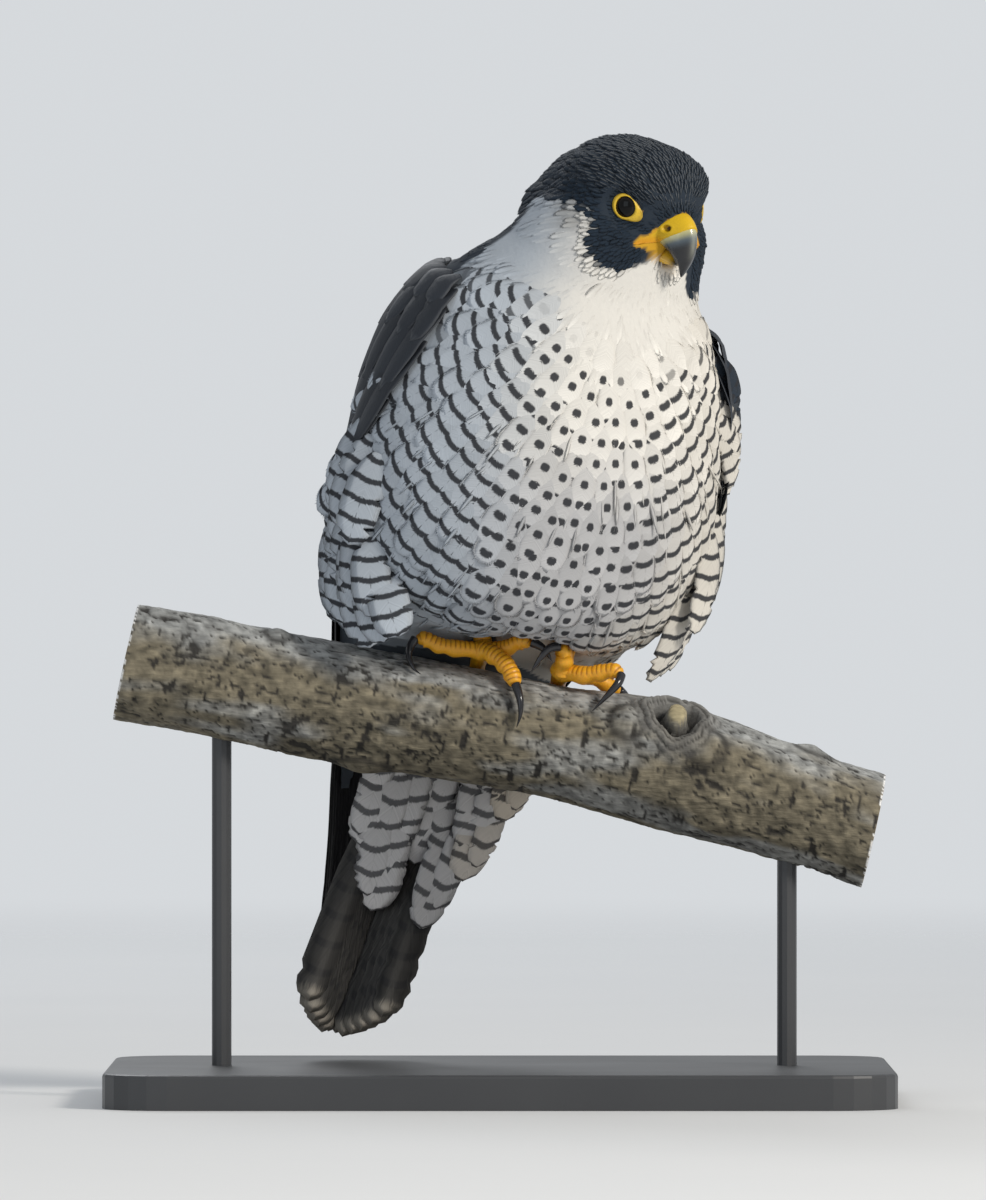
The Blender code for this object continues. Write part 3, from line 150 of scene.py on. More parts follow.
def ramp_between(tree, value, low, high):
    """A smooth step from 0 at low to 1 at high."""
    node = add(tree, "ShaderNodeMapRange", {"interpolation_type": "SMOOTHSTEP"}, i0=value, i1=low, i2=high)
    return node.outputs[0]


def attribute(tree, name, output="Fac"):
    return add(tree, "ShaderNodeAttribute", {"attribute_name": name}).outputs[output]


def shader_group(name, inputs, outputs):
    """An empty shader node group with its named sockets."""
    group = bpy.data.node_groups.new(name, "ShaderNodeTree")
    for label, kind, value in inputs:
        socket = group.interface.new_socket(label, in_out="INPUT", socket_type=kind)
        if value is not None:
            socket.default_value = value
    for label, kind in outputs:
        group.interface.new_socket(label, in_out="OUTPUT", socket_type=kind)
    return group, group.nodes.new("NodeGroupInput").outputs, group.nodes.new("NodeGroupOutput").inputs


# %% Floor, world and lights
FLOOR_RADIUS = 9.0
PALE = (0.70, 0.725, 0.75)
ROOM_LIGHT = 0.62
SEEN_BRIGHTER = 0.34

world = bpy.data.worlds.new("pale_room")
world.use_nodes = True
background = world.node_tree.nodes["Background"]
background.inputs["Color"].default_value = (*PALE, 1)
seen = world.node_tree.nodes.new("ShaderNodeLightPath").outputs["Is Camera Ray"]
strength = maths(world.node_tree, "MULTIPLY_ADD", seen, SEEN_BRIGHTER, ROOM_LIGHT)
world.node_tree.links.new(strength, background.inputs["Strength"])
scene.world = world

bm = bmesh.new()
bmesh.ops.create_circle(bm, cap_ends=True, radius=FLOOR_RADIUS, segments=96)
floor_mesh = bpy.data.meshes.new("floor")
bm.to_mesh(floor_mesh)
bm.free()
floor = bpy.data.objects.new("floor", floor_mesh)
scene.collection.objects.link(floor)
finish, tree, shader = new_material("pale_floor", 0.85)
spot = object_place(tree)
distance = vector_maths(tree, "LENGTH", spot, output="Value")
shade = blend_colours(tree, noise_at(tree, spot, 3.0, 4.0), (0.70, 0.71, 0.72, 1), (0.74, 0.745, 0.75, 1))
tree.links.new(shade, shader.inputs["Base Color"])
tree.links.new(one_less(tree, ramp_between(tree, distance, 0.9, 4.2)), shader.inputs["Alpha"])
floor_mesh.materials.append(finish)


def softbox(name, place, size, power, colour):
    """A square area light aimed at the middle of the bird."""
    light = bpy.data.lights.new(name, "AREA")
    light.size = size
    light.energy = power
    light.color = colour
    item = bpy.data.objects.new(name, light)
    item.location = place
    item.rotation_euler = (Vector((0, 0, 0.27)) - Vector(place)).to_track_quat("-Z", "Y").to_euler()
    scene.collection.objects.link(item)


softbox("key_light", (2.3, -2.1, 1.9), 0.7, 92, (1.0, 0.945, 0.86))
softbox("fill_light", (-2.2, -2.6, 1.0), 1.8, 9, (0.80, 0.90, 1.0))
softbox("rim_light", (-0.8, 2.6, 2.2), 1.4, 24, (0.95, 0.97, 1.0))

# %% [markdown]
# ## The bird's own frames
#
# Feathers are easiest to place in the bird's own frame: it faces -Y, its left is +X and its spine is +Z. One matrix
# stands the bird on the sloping branch and turns it a little, and another turns and nods its head. Every later step
# measures heights and angles in these two frames, in millimetres.

# %% Frames
STANCE = (Matrix.Translation((-0.0046, 0.0, 0.2001)) @ Matrix.Rotation(math.radians(12.4), 4, "Y")
          @ Matrix.Rotation(math.radians(20), 4, "Z"))
HEAD = (Matrix.Translation((0.0640, -0.0300, 0.4119)) @ Matrix.Rotation(math.radians(40), 4, "Z")
        @ Matrix.Rotation(math.radians(20), 4, "X"))
BOTH_SIDES = (("left", 1), ("right", -1))


def into(matrix, points):
    """World points in metres as millimetres in a frame."""
    inverse = np.array(matrix.inverted())
    return (np.asarray(points) @ inverse[:3, :3].T + inverse[:3, 3]) * 1000


def out_of(matrix, points):
    """Points in millimetres in a frame as world metres."""
    m = np.array(matrix)
    return (np.asarray(points, float) / 1000) @ m[:3, :3].T + m[:3, 3]


def turned(matrix, directions):
    """Directions of a frame as world directions."""
    return np.asarray(directions) @ np.array(matrix)[:3, :3].T


def unit(v):
    return v / np.maximum(np.linalg.norm(v, axis=-1, keepdims=True), 1e-9)


def smooth(value, low, high):
    """A smooth step from 0 at low to 1 at high."""
    t = np.clip((value - low) / (high - low), 0, 1)
    return t * t * (3 - 2 * t)


def mixed(a, b, share):
    """A blend of two colours or numbers: a where the share is 0, b where it is 1."""
    return np.asarray(a) * (1 - share) + np.asarray(b) * share


def trunk_angles(points):
    """Angle about the spine in degrees from the front, towards the bird's left, and height above the perch."""
    local = into(STANCE, points)
    return np.degrees(np.arctan2(local[:, 0], -local[:, 1])), local[:, 2]


# %% [markdown]
# ## One skin under the plumage
#
# The solids part the body into head, neck, torso, legs and wings. On the real bird no seam shows, so copies of
# those solids are joined, swollen until they touch, remeshed into one closed surface and drawn in by the depth of
# the plumage. The feathers are then rooted in this skin.

# %% The trunk under the plumage
# Height, middle from front to back, tilt in degrees, half width, and reach to the front and to the back, in metres
TRUNK = (
    (0.194, -0.020, 8, 0.047, 0.036, 0.038), (0.180, -0.012, 8, 0.061, 0.050, 0.046),
    (0.164, -0.006, 10, 0.072, 0.060, 0.053), (0.138, -0.001, 12, 0.082, 0.070, 0.059),
    (0.105, 0.002, 14, 0.088, 0.076, 0.061), (0.075, 0.006, 18, 0.089, 0.076, 0.059),
    (0.048, 0.014, 22, 0.086, 0.067, 0.053), (0.026, 0.026, 26, 0.075, 0.044, 0.044),
    (0.004, 0.042, 28, 0.058, 0.020, 0.032),
)
# How far both flanks swell outward at these heights
TRUNK_SHIFT = (0.0, 0.0, 0.0, 0.0008, 0.0020, 0.0026, 0.0024, 0.0012, 0.0)


def spline(rows, places):
    """Rows read at fractional places on a smooth curve through them."""
    rows = np.asarray(rows, float)
    places = np.clip(places, 0, len(rows) - 1)
    i = np.minimum(places.astype(int), len(rows) - 2)
    t = (places - i)[(...,) + (None,) * (rows.ndim - 1)]
    a, b = rows[np.maximum(i - 1, 0)], rows[i]
    c, d = rows[i + 1], rows[np.minimum(i + 2, len(rows) - 1)]
    return b + t * (c - a) / 2 + t * t * (2 * a - 5 * b + 4 * c - d) / 2 + t * t * t * (3 * b - a - 3 * c + d) / 2


def trunk_point(height, angle, lift, side):
    """A point over one side of the trunk, turned in degrees from its front, with +X pointing to that side."""
    rows = np.array([(*row, shift) for row, shift in zip(TRUNK, TRUNK_SHIFT)])
    place = np.interp(-height, -rows[:, 0], np.arange(len(rows)))
    _, back, tilt, half_width, front, rear, shift = spline(rows, np.array([place]))[0]
    lean, turn = math.radians(tilt), math.radians(angle)
    forward = math.cos(turn) * ((front if math.cos(turn) > 0 else rear) + lift)
    return np.array((math.sin(turn) * (half_width + lift) + shift * side, back - forward * math.cos(lean),
                     height - forward * math.sin(lean)))


# %% [markdown]
# ### Where the head is bare
#
# Around the eye runs a ring of bare skin that comes to a point towards the bill. The feathers of the forehead end at
# a slanting line over the bill, and those of the chin below its lip. The skin, the feathers and the pieces of the
# face all ask these functions, in the head's frame.

# %% Eyes and bare skin on the head
EYE_BALL, EYE_FORWARD, EYE_OPENING = 8.35, 0.45, 4.8
EYE_PLACE = (15.4, -12.7, 2.5)


def eye_frame(side):
    """Centre of an eye and its axes in the head's frame, in millimetres: outward, towards the bill, and up."""
    centre = np.array(EYE_PLACE) * (side, 1, 1)
    out = unit(np.array((0.90 * side, -0.42, 0.05)))
    ahead = np.array((-0.30 * side, -1.0, -0.34))
    ahead = unit(ahead - out * ahead.dot(out))
    up = np.cross(out, ahead) * side
    return centre, out, ahead, up * (1 if up[2] > 0 else -1)


def by_eye(eye, turn, reach, height):
    """A place around an eye in the head's frame: by its angle and distance from the eye's axis and height along it."""
    centre, out, ahead, up = eye
    return centre + ahead * math.cos(turn) * reach + up * math.sin(turn) * reach + out * height


def ray_length(surface, spot, ray, furthest):
    """How far a ray in the head's frame runs to a surface, in millimetres, or None if it misses."""
    start, ray = out_of(HEAD, [spot])[0], turned(HEAD, [ray])[0]
    length = surface.ray_cast(Vector(start), Vector(ray), furthest / 1000)[3]
    return None if length is None else length * 1000


def ring_reach(turn):
    """Outer radius of the bare eye ring, in millimetres: round, with a point towards the bill."""
    ahead, back = np.maximum(0, np.cos(turn)), np.maximum(0, -np.cos(turn))
    return EYE_OPENING + 1.0 - 0.25 * np.sin(turn) + 3.6 * ahead ** 6 + 1.2 * back ** 2


def past_brow(head):
    """Distance in millimetres past the slanting line where the forehead's feathers end."""
    return (-head[..., 1] - 32) * 0.905 - (head[..., 2] - 6) * 0.425


def feathered(points):
    """Whether a spot of the head's skin bears feathers: not on the bill past the brow's line, nor around the eyes."""
    head = into(HEAD, points)
    forward, side, rise = -head[:, 1], head[:, 0], head[:, 2]
    lip = -11.8 - (forward - 25.5) * 0.48
    bare = (past_brow(head) > -0.3) & (forward > 23.2) & (np.abs(side) < 19.5)
    bare &= rise > lip - 1.2 - 2 * smooth(forward, 26, 31)
    for sign in (1, -1):
        centre, out, ahead, up = eye_frame(sign)
        away = head - centre
        x, y = away @ ahead, away @ up
        bare |= (away @ out > -4) & (np.hypot(x, y) < ring_reach(np.arctan2(y, x)) - 0.5)
    return ~bare


# %% [markdown]
# ### The skin itself
#
# Remeshing twice, before and after drawing the surface in, closes the grooves between the solids. Small scraps are
# dropped, the flanks go back to the smooth trunk, and the face is fitted to the eyes and to the bill's root.

# %% Skin
SKIN_NODES = ("head", "neck", "torso", "leg_left", "leg_right", "wing_left", "wing_right", "cere", "bill_upper")
SKIN_VOXEL = 0.0018
BODY_COAT = 0.0030
FACE_COAT = 0.0010
# Around the eye, in millimetres: width of the slope up to the ring, height of the ring's foot and of the socket
EYE_SLOPE, EYE_FOOT, EYE_SOCKET = 6.5, 7.0, 5.2


def link(item):
    """Puts an object into the scene."""
    scene.collection.objects.link(item)
    return item


def baked(item, name=None):
    """A plain mesh of an object with its modifiers applied."""
    bpy.context.view_layer.update()
    graph = bpy.context.evaluated_depsgraph_get()
    mesh = bpy.data.meshes.new_from_object(item.evaluated_get(graph))
    mesh.name = name or item.name
    return mesh


def merged_copy(names, name):
    """Copies of solids in one mesh, with their loose triangles merged."""
    bm = bmesh.new()
    for node in names:
        bm.from_mesh(nodes[node].data)
    bmesh.ops.remove_doubles(bm, verts=bm.verts, dist=1e-6)
    mesh = bpy.data.meshes.new(name)
    bm.to_mesh(mesh)
    bm.free()
    mesh.materials.clear()
    return link(bpy.data.objects.new(name, mesh))


def coordinates(mesh):
    """Places of all vertices, one row each."""
    co = np.empty(len(mesh.vertices) * 3, np.float32)
    mesh.vertices.foreach_get("co", co)
    return co.reshape(-1, 3).astype(float)


def set_coordinates(mesh, co):
    """Moves all vertices."""
    mesh.vertices.foreach_set("co", np.asarray(co, np.float32).ravel())
    mesh.update()


def normals_of(mesh):
    """Normals of all vertices, one row each."""
    flat = np.empty(len(mesh.vertices) * 3, np.float32)
    mesh.vertex_normals.foreach_get("vector", flat)
    return flat.reshape(-1, 3).astype(float)


def keep_islands(mesh, least):
    """Drops loose scraps of a mesh that have fewer vertices than the least."""
    bm = bmesh.new()
    bm.from_mesh(mesh)
    seen, scraps = set(), []
    for start in bm.verts:
        if start in seen:
            continue
        island, edge_of_it = [start], [start]
        seen.add(start)
        while edge_of_it:
            vert = edge_of_it.pop()
            for link_edge in vert.link_edges:
                other = link_edge.other_vert(vert)
                if other not in seen:
                    seen.add(other)
                    island.append(other)
                    edge_of_it.append(other)
        if len(island) < least:
            scraps += island
    bmesh.ops.delete(bm, geom=scraps, context="VERTS")
    bm.to_mesh(mesh)
    bm.free()


def voxel_remesh(item, size, rounds):
    """One closed, even surface from overlapping ones, with its steps smoothed away."""
    remesh = item.modifiers.new("one_surface", "REMESH")
    remesh.mode = "VOXEL"
    remesh.voxel_size = size
    settle = item.modifiers.new("settle", "SMOOTH")
    settle.iterations = rounds
    settle.factor = 0.5
    item.data = baked(item)
    item.modifiers.clear()


def flatten_flanks(co):
    """Brings the skin of both flanks back to the smooth trunk, as the feathers that hang there are drawn later."""
    spots, outs = [], []
    for side in (1, -1):
        for height in np.arange(0.004, 0.150, 0.004):
            for angle in range(36, 112, 4):
                spot = trunk_point(height, angle, 0, side)
                down = trunk_point(height - 0.003, angle, 0, side) - trunk_point(height + 0.003, angle, 0, side)
                over = trunk_point(height, angle + 2, 0, side) - trunk_point(height, angle - 2, 0, side)
                spots.append(spot * (side, 1, 1))
                outs.append(unit(np.cross(down, over)) * (side, 1, 1))
    finder = kdtree.KDTree(len(spots))
    for i, spot in enumerate(spots):
        finder.insert(spot, i)
    finder.balance()
    local = into(STANCE, co)
    phi = np.abs(np.degrees(np.arctan2(local[:, 0], -local[:, 1])))
    lead = np.interp(local[:, 2], (26, 48, 75, 105, 138), (100, 96, 90, 78, 69))
    for i in np.nonzero((phi > 40) & (phi < lead) & (local[:, 2] > 4) & (local[:, 2] < 122))[0]:
        place, k, _ = finder.find(local[i] / 1000)
        rise = float(np.dot(local[i] / 1000 - place, outs[k]))
        if rise > -BODY_COAT:
            local[i] -= outs[k] * (rise + BODY_COAT) * 1000
    return out_of(STANCE, local)


def shape_face(co, surface):
    """Lays the skin smoothly up to each eye's ring, presses a socket inside it and draws in the bill's core."""
    head = into(HEAD, co)
    for side in (1, -1):
        centre, out, ahead, up = eye_frame(side)
        turns = np.linspace(-math.pi, math.pi, 37)
        rim = []
        for turn in turns:
            spot = by_eye((centre, out, ahead, up), turn, ring_reach(turn) + EYE_SLOPE, 30)
            length = ray_length(surface, spot, -out, 50)
            rim.append(8.0 if length is None else 30 - length)
        away = head - centre
        rise, x, y = away @ out, away @ ahead, away @ up
        reach, turn = np.hypot(x, y), np.arctan2(y, x)
        past = reach - ring_reach(turn)
        slope = EYE_FOOT + (np.interp(turn, turns, rim) - EYE_FOOT) * np.clip(past / EYE_SLOPE, 0, 1)
        near = (past < EYE_SLOPE) & (past > -0.8) & (rise > -9) & (rise < 18) & ((rise < slope) | (past < 2.0))
        head[near] += out * (slope - rise)[near, None]
        deep = (past <= -0.8) & (rise > EYE_SOCKET) & (rise < 18)
        head[deep] += out * (EYE_SOCKET - rise)[deep, None]
    core = smooth(past_brow(head), 0.5, 3.0) * (-head[:, 1] > 24) * (np.abs(head[:, 0]) < 13) * (head[:, 2] > -19)
    head[:, 0] *= 1 - 0.32 * core
    head[:, 1:] += (np.array((-30.0, -5.0)) - head[:, 1:]) * (0.24 * core)[:, None]
    return out_of(HEAD, head)


def tree_over(mesh):
    """A search tree for rays and near points on a mesh."""
    return BVHTree.FromPolygons([v.co for v in mesh.vertices], [p.vertices for p in mesh.polygons])


def make_skin():
    """The one closed surface under the plumage, drawn in by the depth of the coat."""
    skin = merged_copy(SKIN_NODES, "skin")
    swell = skin.modifiers.new("swell", "DISPLACE")
    swell.strength = 0.0005
    swell.mid_level = 0
    voxel_remesh(skin, SKIN_VOXEL, 8)
    co = coordinates(skin.data)
    head = into(HEAD, co)
    depth = BODY_COAT + (FACE_COAT - BODY_COAT) * smooth(head[:, 2], -38, -14)
    set_coordinates(skin.data, co - normals_of(skin.data) * depth[:, None])
    voxel_remesh(skin, SKIN_VOXEL, 6)
    set_coordinates(skin.data, shape_face(coordinates(skin.data), tree_over(skin.data)))
    keep_islands(skin.data, 4000)
    set_coordinates(skin.data, flatten_flanks(coordinates(skin.data)))
    voxel_remesh(skin, SKIN_VOXEL, 4)
    keep_islands(skin.data, 4000)
    set_coordinates(skin.data, shape_face(coordinates(skin.data), tree_over(skin.data)))
    skin.data.shade_smooth()
    return skin


skin = make_skin()
skin_tree = tree_over(skin.data)
print("skin:", len(skin.data.polygons), "faces")

# %% [markdown]
# ## Where the plumage is dark and where it is barred
#
# A peregrine wears a slate hood that runs down below the eye as a moustache, a pale cheek behind it, a cream throat
# and breast, and a belly whose small dark drops widen into bars towards the flanks. All of it is written here as
# curves in the bird's own frames, so that the skin and every feather read the same map.

# %% Map of the markings
HOOD_EDGE = ((-60, -60), (-46, -40), (-42, -16), (-30, -9), (-15, -6), (-5, -3), (3, -3), (8, -7), (10, -11),
             (11.5, -19.5), (15.3, -23), (20, -26.5), (24.4, -27), (27, -21), (27.4, -11), (60, -9))
CLOAK_EDGE = ((100, 102), (117, 97), (129, 77), (145, 72), (163, 76), (184, 76), (196, 70), (230, 66))
FIRST_MARKS = ((-90, 188), (-72, 186), (-55, 172), (-38, 158), (-20, 144), (0, 134), (15, 132), (30, 138),
               (50, 150), (70, 168), (90, 188))
# Half width of the dark mark across its feather, in half vanes: drops in the middle, whole bars on the flanks
MARK_WIDTH = ((-100, 1.6), (-62, 1.5), (-46, 1.1), (-36, 0.60), (-26, 0.36), (10, 0.27), (26, 0.34), (38, 0.7),
              (50, 1.3), (100, 1.6))
THROAT = 195.0
AROUND = 85 * math.pi / 180
SLATE = (0.013, 0.024, 0.040)
RUMP = (0.105, 0.125, 0.150)
CREAM = (0.79, 0.765, 0.715)
# Painted shade: the grey of the lower belly, which lies in shade
SHADED_BELLY = (0.48, 0.48, 0.49)
# Painted cool shade of the bird's right side, away from the key light
COOL_SHADE = (0.43, 0.475, 0.53)
# Painted warm light on the bird's left flank, which faces the key light
SUNLIT_FLANK = (0.69, 0.655, 0.59)
BARE_SKIN = (0.56, 0.30, 0.012)
# In the head's frame: below it the feathers of the trunk begin, above it those of the head
NECK_LINE = -36


def curve(table, value):
    """Reads a table of places and values with straight lines between its rows."""
    rows = np.array(table, float)
    return np.interp(value, rows[:, 0], rows[:, 1])


def plan(points):
    """The trunk unrolled from the throat, in millimetres: across to the bird's left, and down."""
    phi, up = trunk_angles(points)
    return phi * AROUND, THROAT - up


def darkness(points):
    """How much of the slate hood and cloak covers each world point, from 0 to 1, and whether it is on the head."""
    phi, up = trunk_angles(points)
    head = into(HEAD, points)
    forward, side, rise = -head[:, 1], head[:, 0], head[:, 2]
    edge = curve(HOOD_EDGE, forward)
    edge = np.where((side > 0) & (forward > 12) & (forward < 27), -38.0, edge)
    edge = np.where((np.abs(side) < 12.5) & (forward > 10), np.maximum(edge, -8.0), edge)
    grain = np.array([noise.noise(Vector(spot) * 560) for spot in points])
    cheek = np.exp(-((forward + 3) / 12) ** 2 - ((rise + 9) / 7) ** 2)
    hood = smooth(rise - edge + grain * (0.6 + 8 * cheek), -1.0, 1.0)
    back = (up > 60) | ((np.abs(phi) > 128) & (up > -75))
    cloak = smooth(np.abs(phi) - curve(CLOAK_EDGE, up), -2, 2) * back * smooth(-rise, 12, 20)
    return np.clip(np.maximum(hood, cloak), 0, 1), smooth(rise, -52, -40)


def markings(points):
    """Tone, marks (amount, width, shaft) and trim (pale rim, streak) of the plumage at world points; the tone also
    carries painted shade on the lower belly and the bird's right side, and painted warm light on its left flank.
    """
    phi, up = trunk_angles(points)
    dark, on_head = darkness(points)
    head = into(HEAD, points)
    belly = smooth(-up, -118, -60)[:, None]
    # Lower down, the tone turns to the painted shade of the belly
    tone = mixed(CREAM, SHADED_BELLY, belly)
    # Painted cool shade over the bird's right side
    tone = mixed(tone, COOL_SHADE, smooth(-phi, 10, 54)[:, None])
    # Painted warm light over the bird's left flank
    tone = mixed(tone, SUNLIT_FLANK, smooth(phi, 30, 75)[:, None])
    cheek = np.exp(-((-head[:, 1] + 3) / 11) ** 2 - ((head[:, 2] + 9) / 6) ** 2)[:, None]
    tone = tone * (1 - 0.45 * cheek)
    tone = mixed(tone, SLATE, dark[:, None])
    low = smooth(curve(FIRST_MARKS, phi) - up, -3, 5) * (1 - dark) * (1 - on_head)
    width = curve(MARK_WIDTH, phi) * (0.75 + 0.25 * smooth(-up, -150, -110))
    shaft = low * np.maximum(smooth(-phi, 24, 44), smooth(phi, 30, 46)) * smooth(-up, -135, -95)
    rump = (np.abs(phi) > 128) * smooth(-up, -105, -80)
    tone = mixed(tone, RUMP, rump[:, None])
    low, width = np.maximum(low, 0.8 * rump), np.where(rump > 0.3, 1.6, width)
    marks = np.stack([low, width, shaft], 1)
    crown = dark * smooth(head[:, 2], 4, 14) * smooth(-head[:, 1], -30, -5)
    trim = np.stack([dark * 0.16, crown, np.zeros_like(dark)], 1)
    return tone, marks, trim


def paint(mesh, tones):
    """Stores a tone on every vertex."""
    layer = mesh.color_attributes.new("tone", "FLOAT_COLOR", "POINT")
    rgba = np.ones((len(mesh.vertices), 4), np.float32)
    rgba[:, :3] = tones
    layer.data.foreach_set("color", rgba.ravel())


# On the head the skin takes the colour of the feather tips that come to lie over it from nearer the bill.
head = into(HEAD, coordinates(skin.data))
lying = unit(head - (0, -34, -8)) * (5.5 * smooth(head[:, 2], -40, -30))[:, None]
tones = markings(out_of(HEAD, head + lying))[0] * 0.85
tones[~feathered(coordinates(skin.data))] = BARE_SKIN
paint(skin.data, tones)
finish, tree, shader = new_material("skin_under_plumage", 0.9)
down = noise_at(tree, object_place(tree), 420.0, 3.0)
tree.links.new(attribute(tree, "tone", "Color"), shader.inputs["Base Color"])
tree.links.new(relief(tree, 0.5, 0.0005, down), shader.inputs["Normal"])
skin.data.materials.append(finish)
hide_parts("head", "neck", "torso", "leg_left", "leg_right", "wing_left", "wing_right")
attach(skin, "root")

# %% [markdown]
# ## One small feather, many times
#
# A body feather is a short shaft with a rounded vane that frays into loose barbs at its rim. A few such feathers,
# one unit long and one unit wide, are modelled as closed meshes. Points scattered over the skin carry what differs
# from feather to feather, and a Geometry Nodes tree sets a feather on every point and makes it real mesh.

# %% Feather templates
def feather_template(name, stations, barbs, reach, camber, curl, seed, root=0.45, full=0.55, blunt=2.0, columns=5,
                     fine=0.020, arch=0.04, thick=0.02):
    """A closed vane of unit length along +Y and unit width, with free barbs around its rim."""
    rng = np.random.default_rng(seed)
    bm = bmesh.new()
    layer = bm.verts.layers.float_vector.new("vane")

    def vert(x, y, z, across, along):
        made = bm.verts.new((x, y, z))
        made[layer] = (across, along, rng.random())
        return made

    def shape(y):
        grow = root + (1 - root) * min(1.0, y / 0.40) ** 0.8
        shut = max(0.0, 1 - max(0.0, (y - full) / (1 - full)) ** blunt) ** 0.5
        return 0.5 * grow * shut

    def height(x, y):
        return arch * math.sin(math.pi * min(1, y)) - curl * y * y - camber * 2 * x * x

    rings = []
    for i in range(stations):
        y = 0.97 * (i / (stations - 1)) ** 0.8
        w = max(0.03, shape(y)) * (1 + 0.08 * (rng.random() - 0.5))
        ring = []
        for k in range(columns):
            a = 2 * k / (columns - 1) - 1
            lag = 0.05 * (1 - abs(a)) * (y > 0.3)
            ring.append(vert(a * w, y + lag, height(a * w, y), a, y + lag))
        ring.append(vert(0, y, height(0, y) - thick, 0, y))
        rings.append(ring)
    sides = columns + 1
    for low, high in zip(rings, rings[1:]):
        for k in range(sides):
            bm.faces.new((low[k], low[(k + 1) % sides], high[(k + 1) % sides], high[k]))
    bm.faces.new(rings[0][::-1])
    bm.faces.new(rings[-1])
    for i in range(barbs):
        y = 0.30 + 0.67 * (i / max(1, barbs - 1)) ** 0.75
        for sign in (-1, 1):
            w = max(0.02, shape(y))
            length = reach * (0.6 + 0.7 * rng.random())
            spread = math.radians(12 + 22 * min(1, w / 0.3) + 10 * rng.random())
            dx, dy = math.sin(spread) * sign, math.cos(spread)
            x, y0 = sign * w * 0.80, y - 0.03
            half = (dy * fine, -dx * fine)
            lean = thick * rng.random()
            a = vert(x - half[0], y0 - half[1], height(x, y0), sign * 0.8, y0)
            b = vert(x + half[0], y0 + half[1], height(x, y0), sign * 0.8, y0)
            c = vert(x, y0, height(x, y0) + thick * 1.1, sign * 0.8, y0)
            x1, y1 = x + dx * length, y0 + dy * length
            d = vert(x1, y1, height(x1, y1) + lean, sign * 1.05, min(1.1, y1))
            for face in ((a, b, c), (a, c, d), (c, b, d), (b, a, d)):
                bm.faces.new(face)
    bmesh.ops.recalc_face_normals(bm, faces=bm.faces)
    bmesh.ops.triangulate(bm, faces=bm.faces)
    mesh = bpy.data.meshes.new(name)
    bm.to_mesh(mesh)
    bm.free()
    mesh.shade_smooth()
    return bpy.data.objects.new(name, mesh)


def template_set(name, count, **shape):
    """A hidden collection of slightly different templates."""
    kept = bpy.data.collections.new(name)
    for i in range(count):
        kept.objects.link(feather_template(f"{name}_{i}", seed=100 + i, **shape))
    return kept


breast_feathers = template_set("breast_feather", 5, stations=6, barbs=9, reach=0.20, camber=0.16, curl=0.10,
                               columns=3, arch=0.015, thick=0.008)
cheek_feathers = template_set("cheek_feather", 5, stations=6, barbs=7, reach=0.18, camber=0.20, curl=0.265,
                              columns=3, arch=0.01, thick=0.008)
wisps = template_set("wisp", 5, stations=4, barbs=5, reach=0.55, camber=0.10, curl=0.14, root=0.2, full=0.2,
                     columns=3, arch=0.03, thick=0.008, fine=0.008)
marked_feathers = template_set("marked_feather", 6, stations=10, barbs=20, reach=0.12, camber=0.16, curl=0.16,
                               full=0.66, blunt=2.4, fine=0.016)
head_feathers = template_set("head_feather", 5, stations=5, barbs=4, reach=0.20, camber=0.10, curl=0.06, columns=3,
                             fine=0.03, arch=0.03, thick=0.014)


# %% The tree that plants feathers
# Width and length of the patch of the map that each feather covers
VANE_PATCH = (0.0014, 0.0028)


def planting_tree():
    """Sets a picked template on every point, turned and sized by the point, and makes all of them real."""
    tree = bpy.data.node_groups.new("plant_feathers", "GeometryNodeTree")
    sockets = {}
    for label, kind in (("Geometry", "NodeSocketGeometry"), ("Templates", "NodeSocketCollection"),
                        ("Finish", "NodeSocketMaterial"), ("Wobble", "NodeSocketFloat"), ("Seed", "NodeSocketInt")):
        sockets[label] = tree.interface.new_socket(label, in_out="INPUT", socket_type=kind).identifier
    tree.interface.new_socket("Geometry", in_out="OUTPUT", socket_type="NodeSocketGeometry")
    start = tree.nodes.new("NodeGroupInput").outputs
    end = tree.nodes.new("NodeGroupOutput").inputs

    def named(name, kind):
        node = add(tree, "GeometryNodeInputNamedAttribute", {"data_type": kind}, Name=name)
        return next(s for s in node.outputs if s.enabled and s.name == "Attribute")

    templates = add(tree, "GeometryNodeCollectionInfo", None, Collection=start["Templates"])
    templates.inputs["Separate Children"].default_value = True
    templates.inputs["Reset Children"].default_value = True
    low = vector_maths(tree, "MULTIPLY", start["Wobble"], (-1.0, -1.0, -1.0))
    jitter = add(tree, "FunctionNodeRandomValue", {"data_type": "FLOAT_VECTOR"}, i0=low, i1=start["Wobble"],
                 Seed=start["Seed"]).outputs[0]
    turn = vector_maths(tree, "ADD", named("turn", "FLOAT_VECTOR"), jitter)
    rotation = add(tree, "FunctionNodeEulerToRotation", None, Euler=turn).outputs[0]
    planted = add(tree, "GeometryNodeInstanceOnPoints", None, Points=start["Geometry"],
                  Instance=templates.outputs["Instances"], Rotation=rotation, Scale=named("size", "FLOAT_VECTOR"))
    planted.inputs["Pick Instance"].default_value = True
    tree.links.new(named("pick", "INT"), planted.inputs["Instance Index"])
    real = add(tree, "GeometryNodeRealizeInstances", None, Geometry=planted.outputs[0]).outputs[0]
    small = vector_maths(tree, "MULTIPLY", named("vane", "FLOAT_VECTOR"), (*VANE_PATCH, 0.0))
    patch = vector_maths(tree, "ADD", named("root_uv", "FLOAT_VECTOR"), small)
    mapped = add(tree, "GeometryNodeStoreNamedAttribute", {"data_type": "FLOAT2", "domain": "CORNER"},
                 Geometry=real, Name="OFBake")
    value = next(s for s in mapped.inputs if s.enabled and s.name == "Value")
    tree.links.new(patch, value)
    dressed = add(tree, "GeometryNodeSetMaterial", None, Geometry=mapped.outputs[0], Material=start["Finish"])
    tree.links.new(dressed.outputs[0], end["Geometry"])
    return tree, sockets


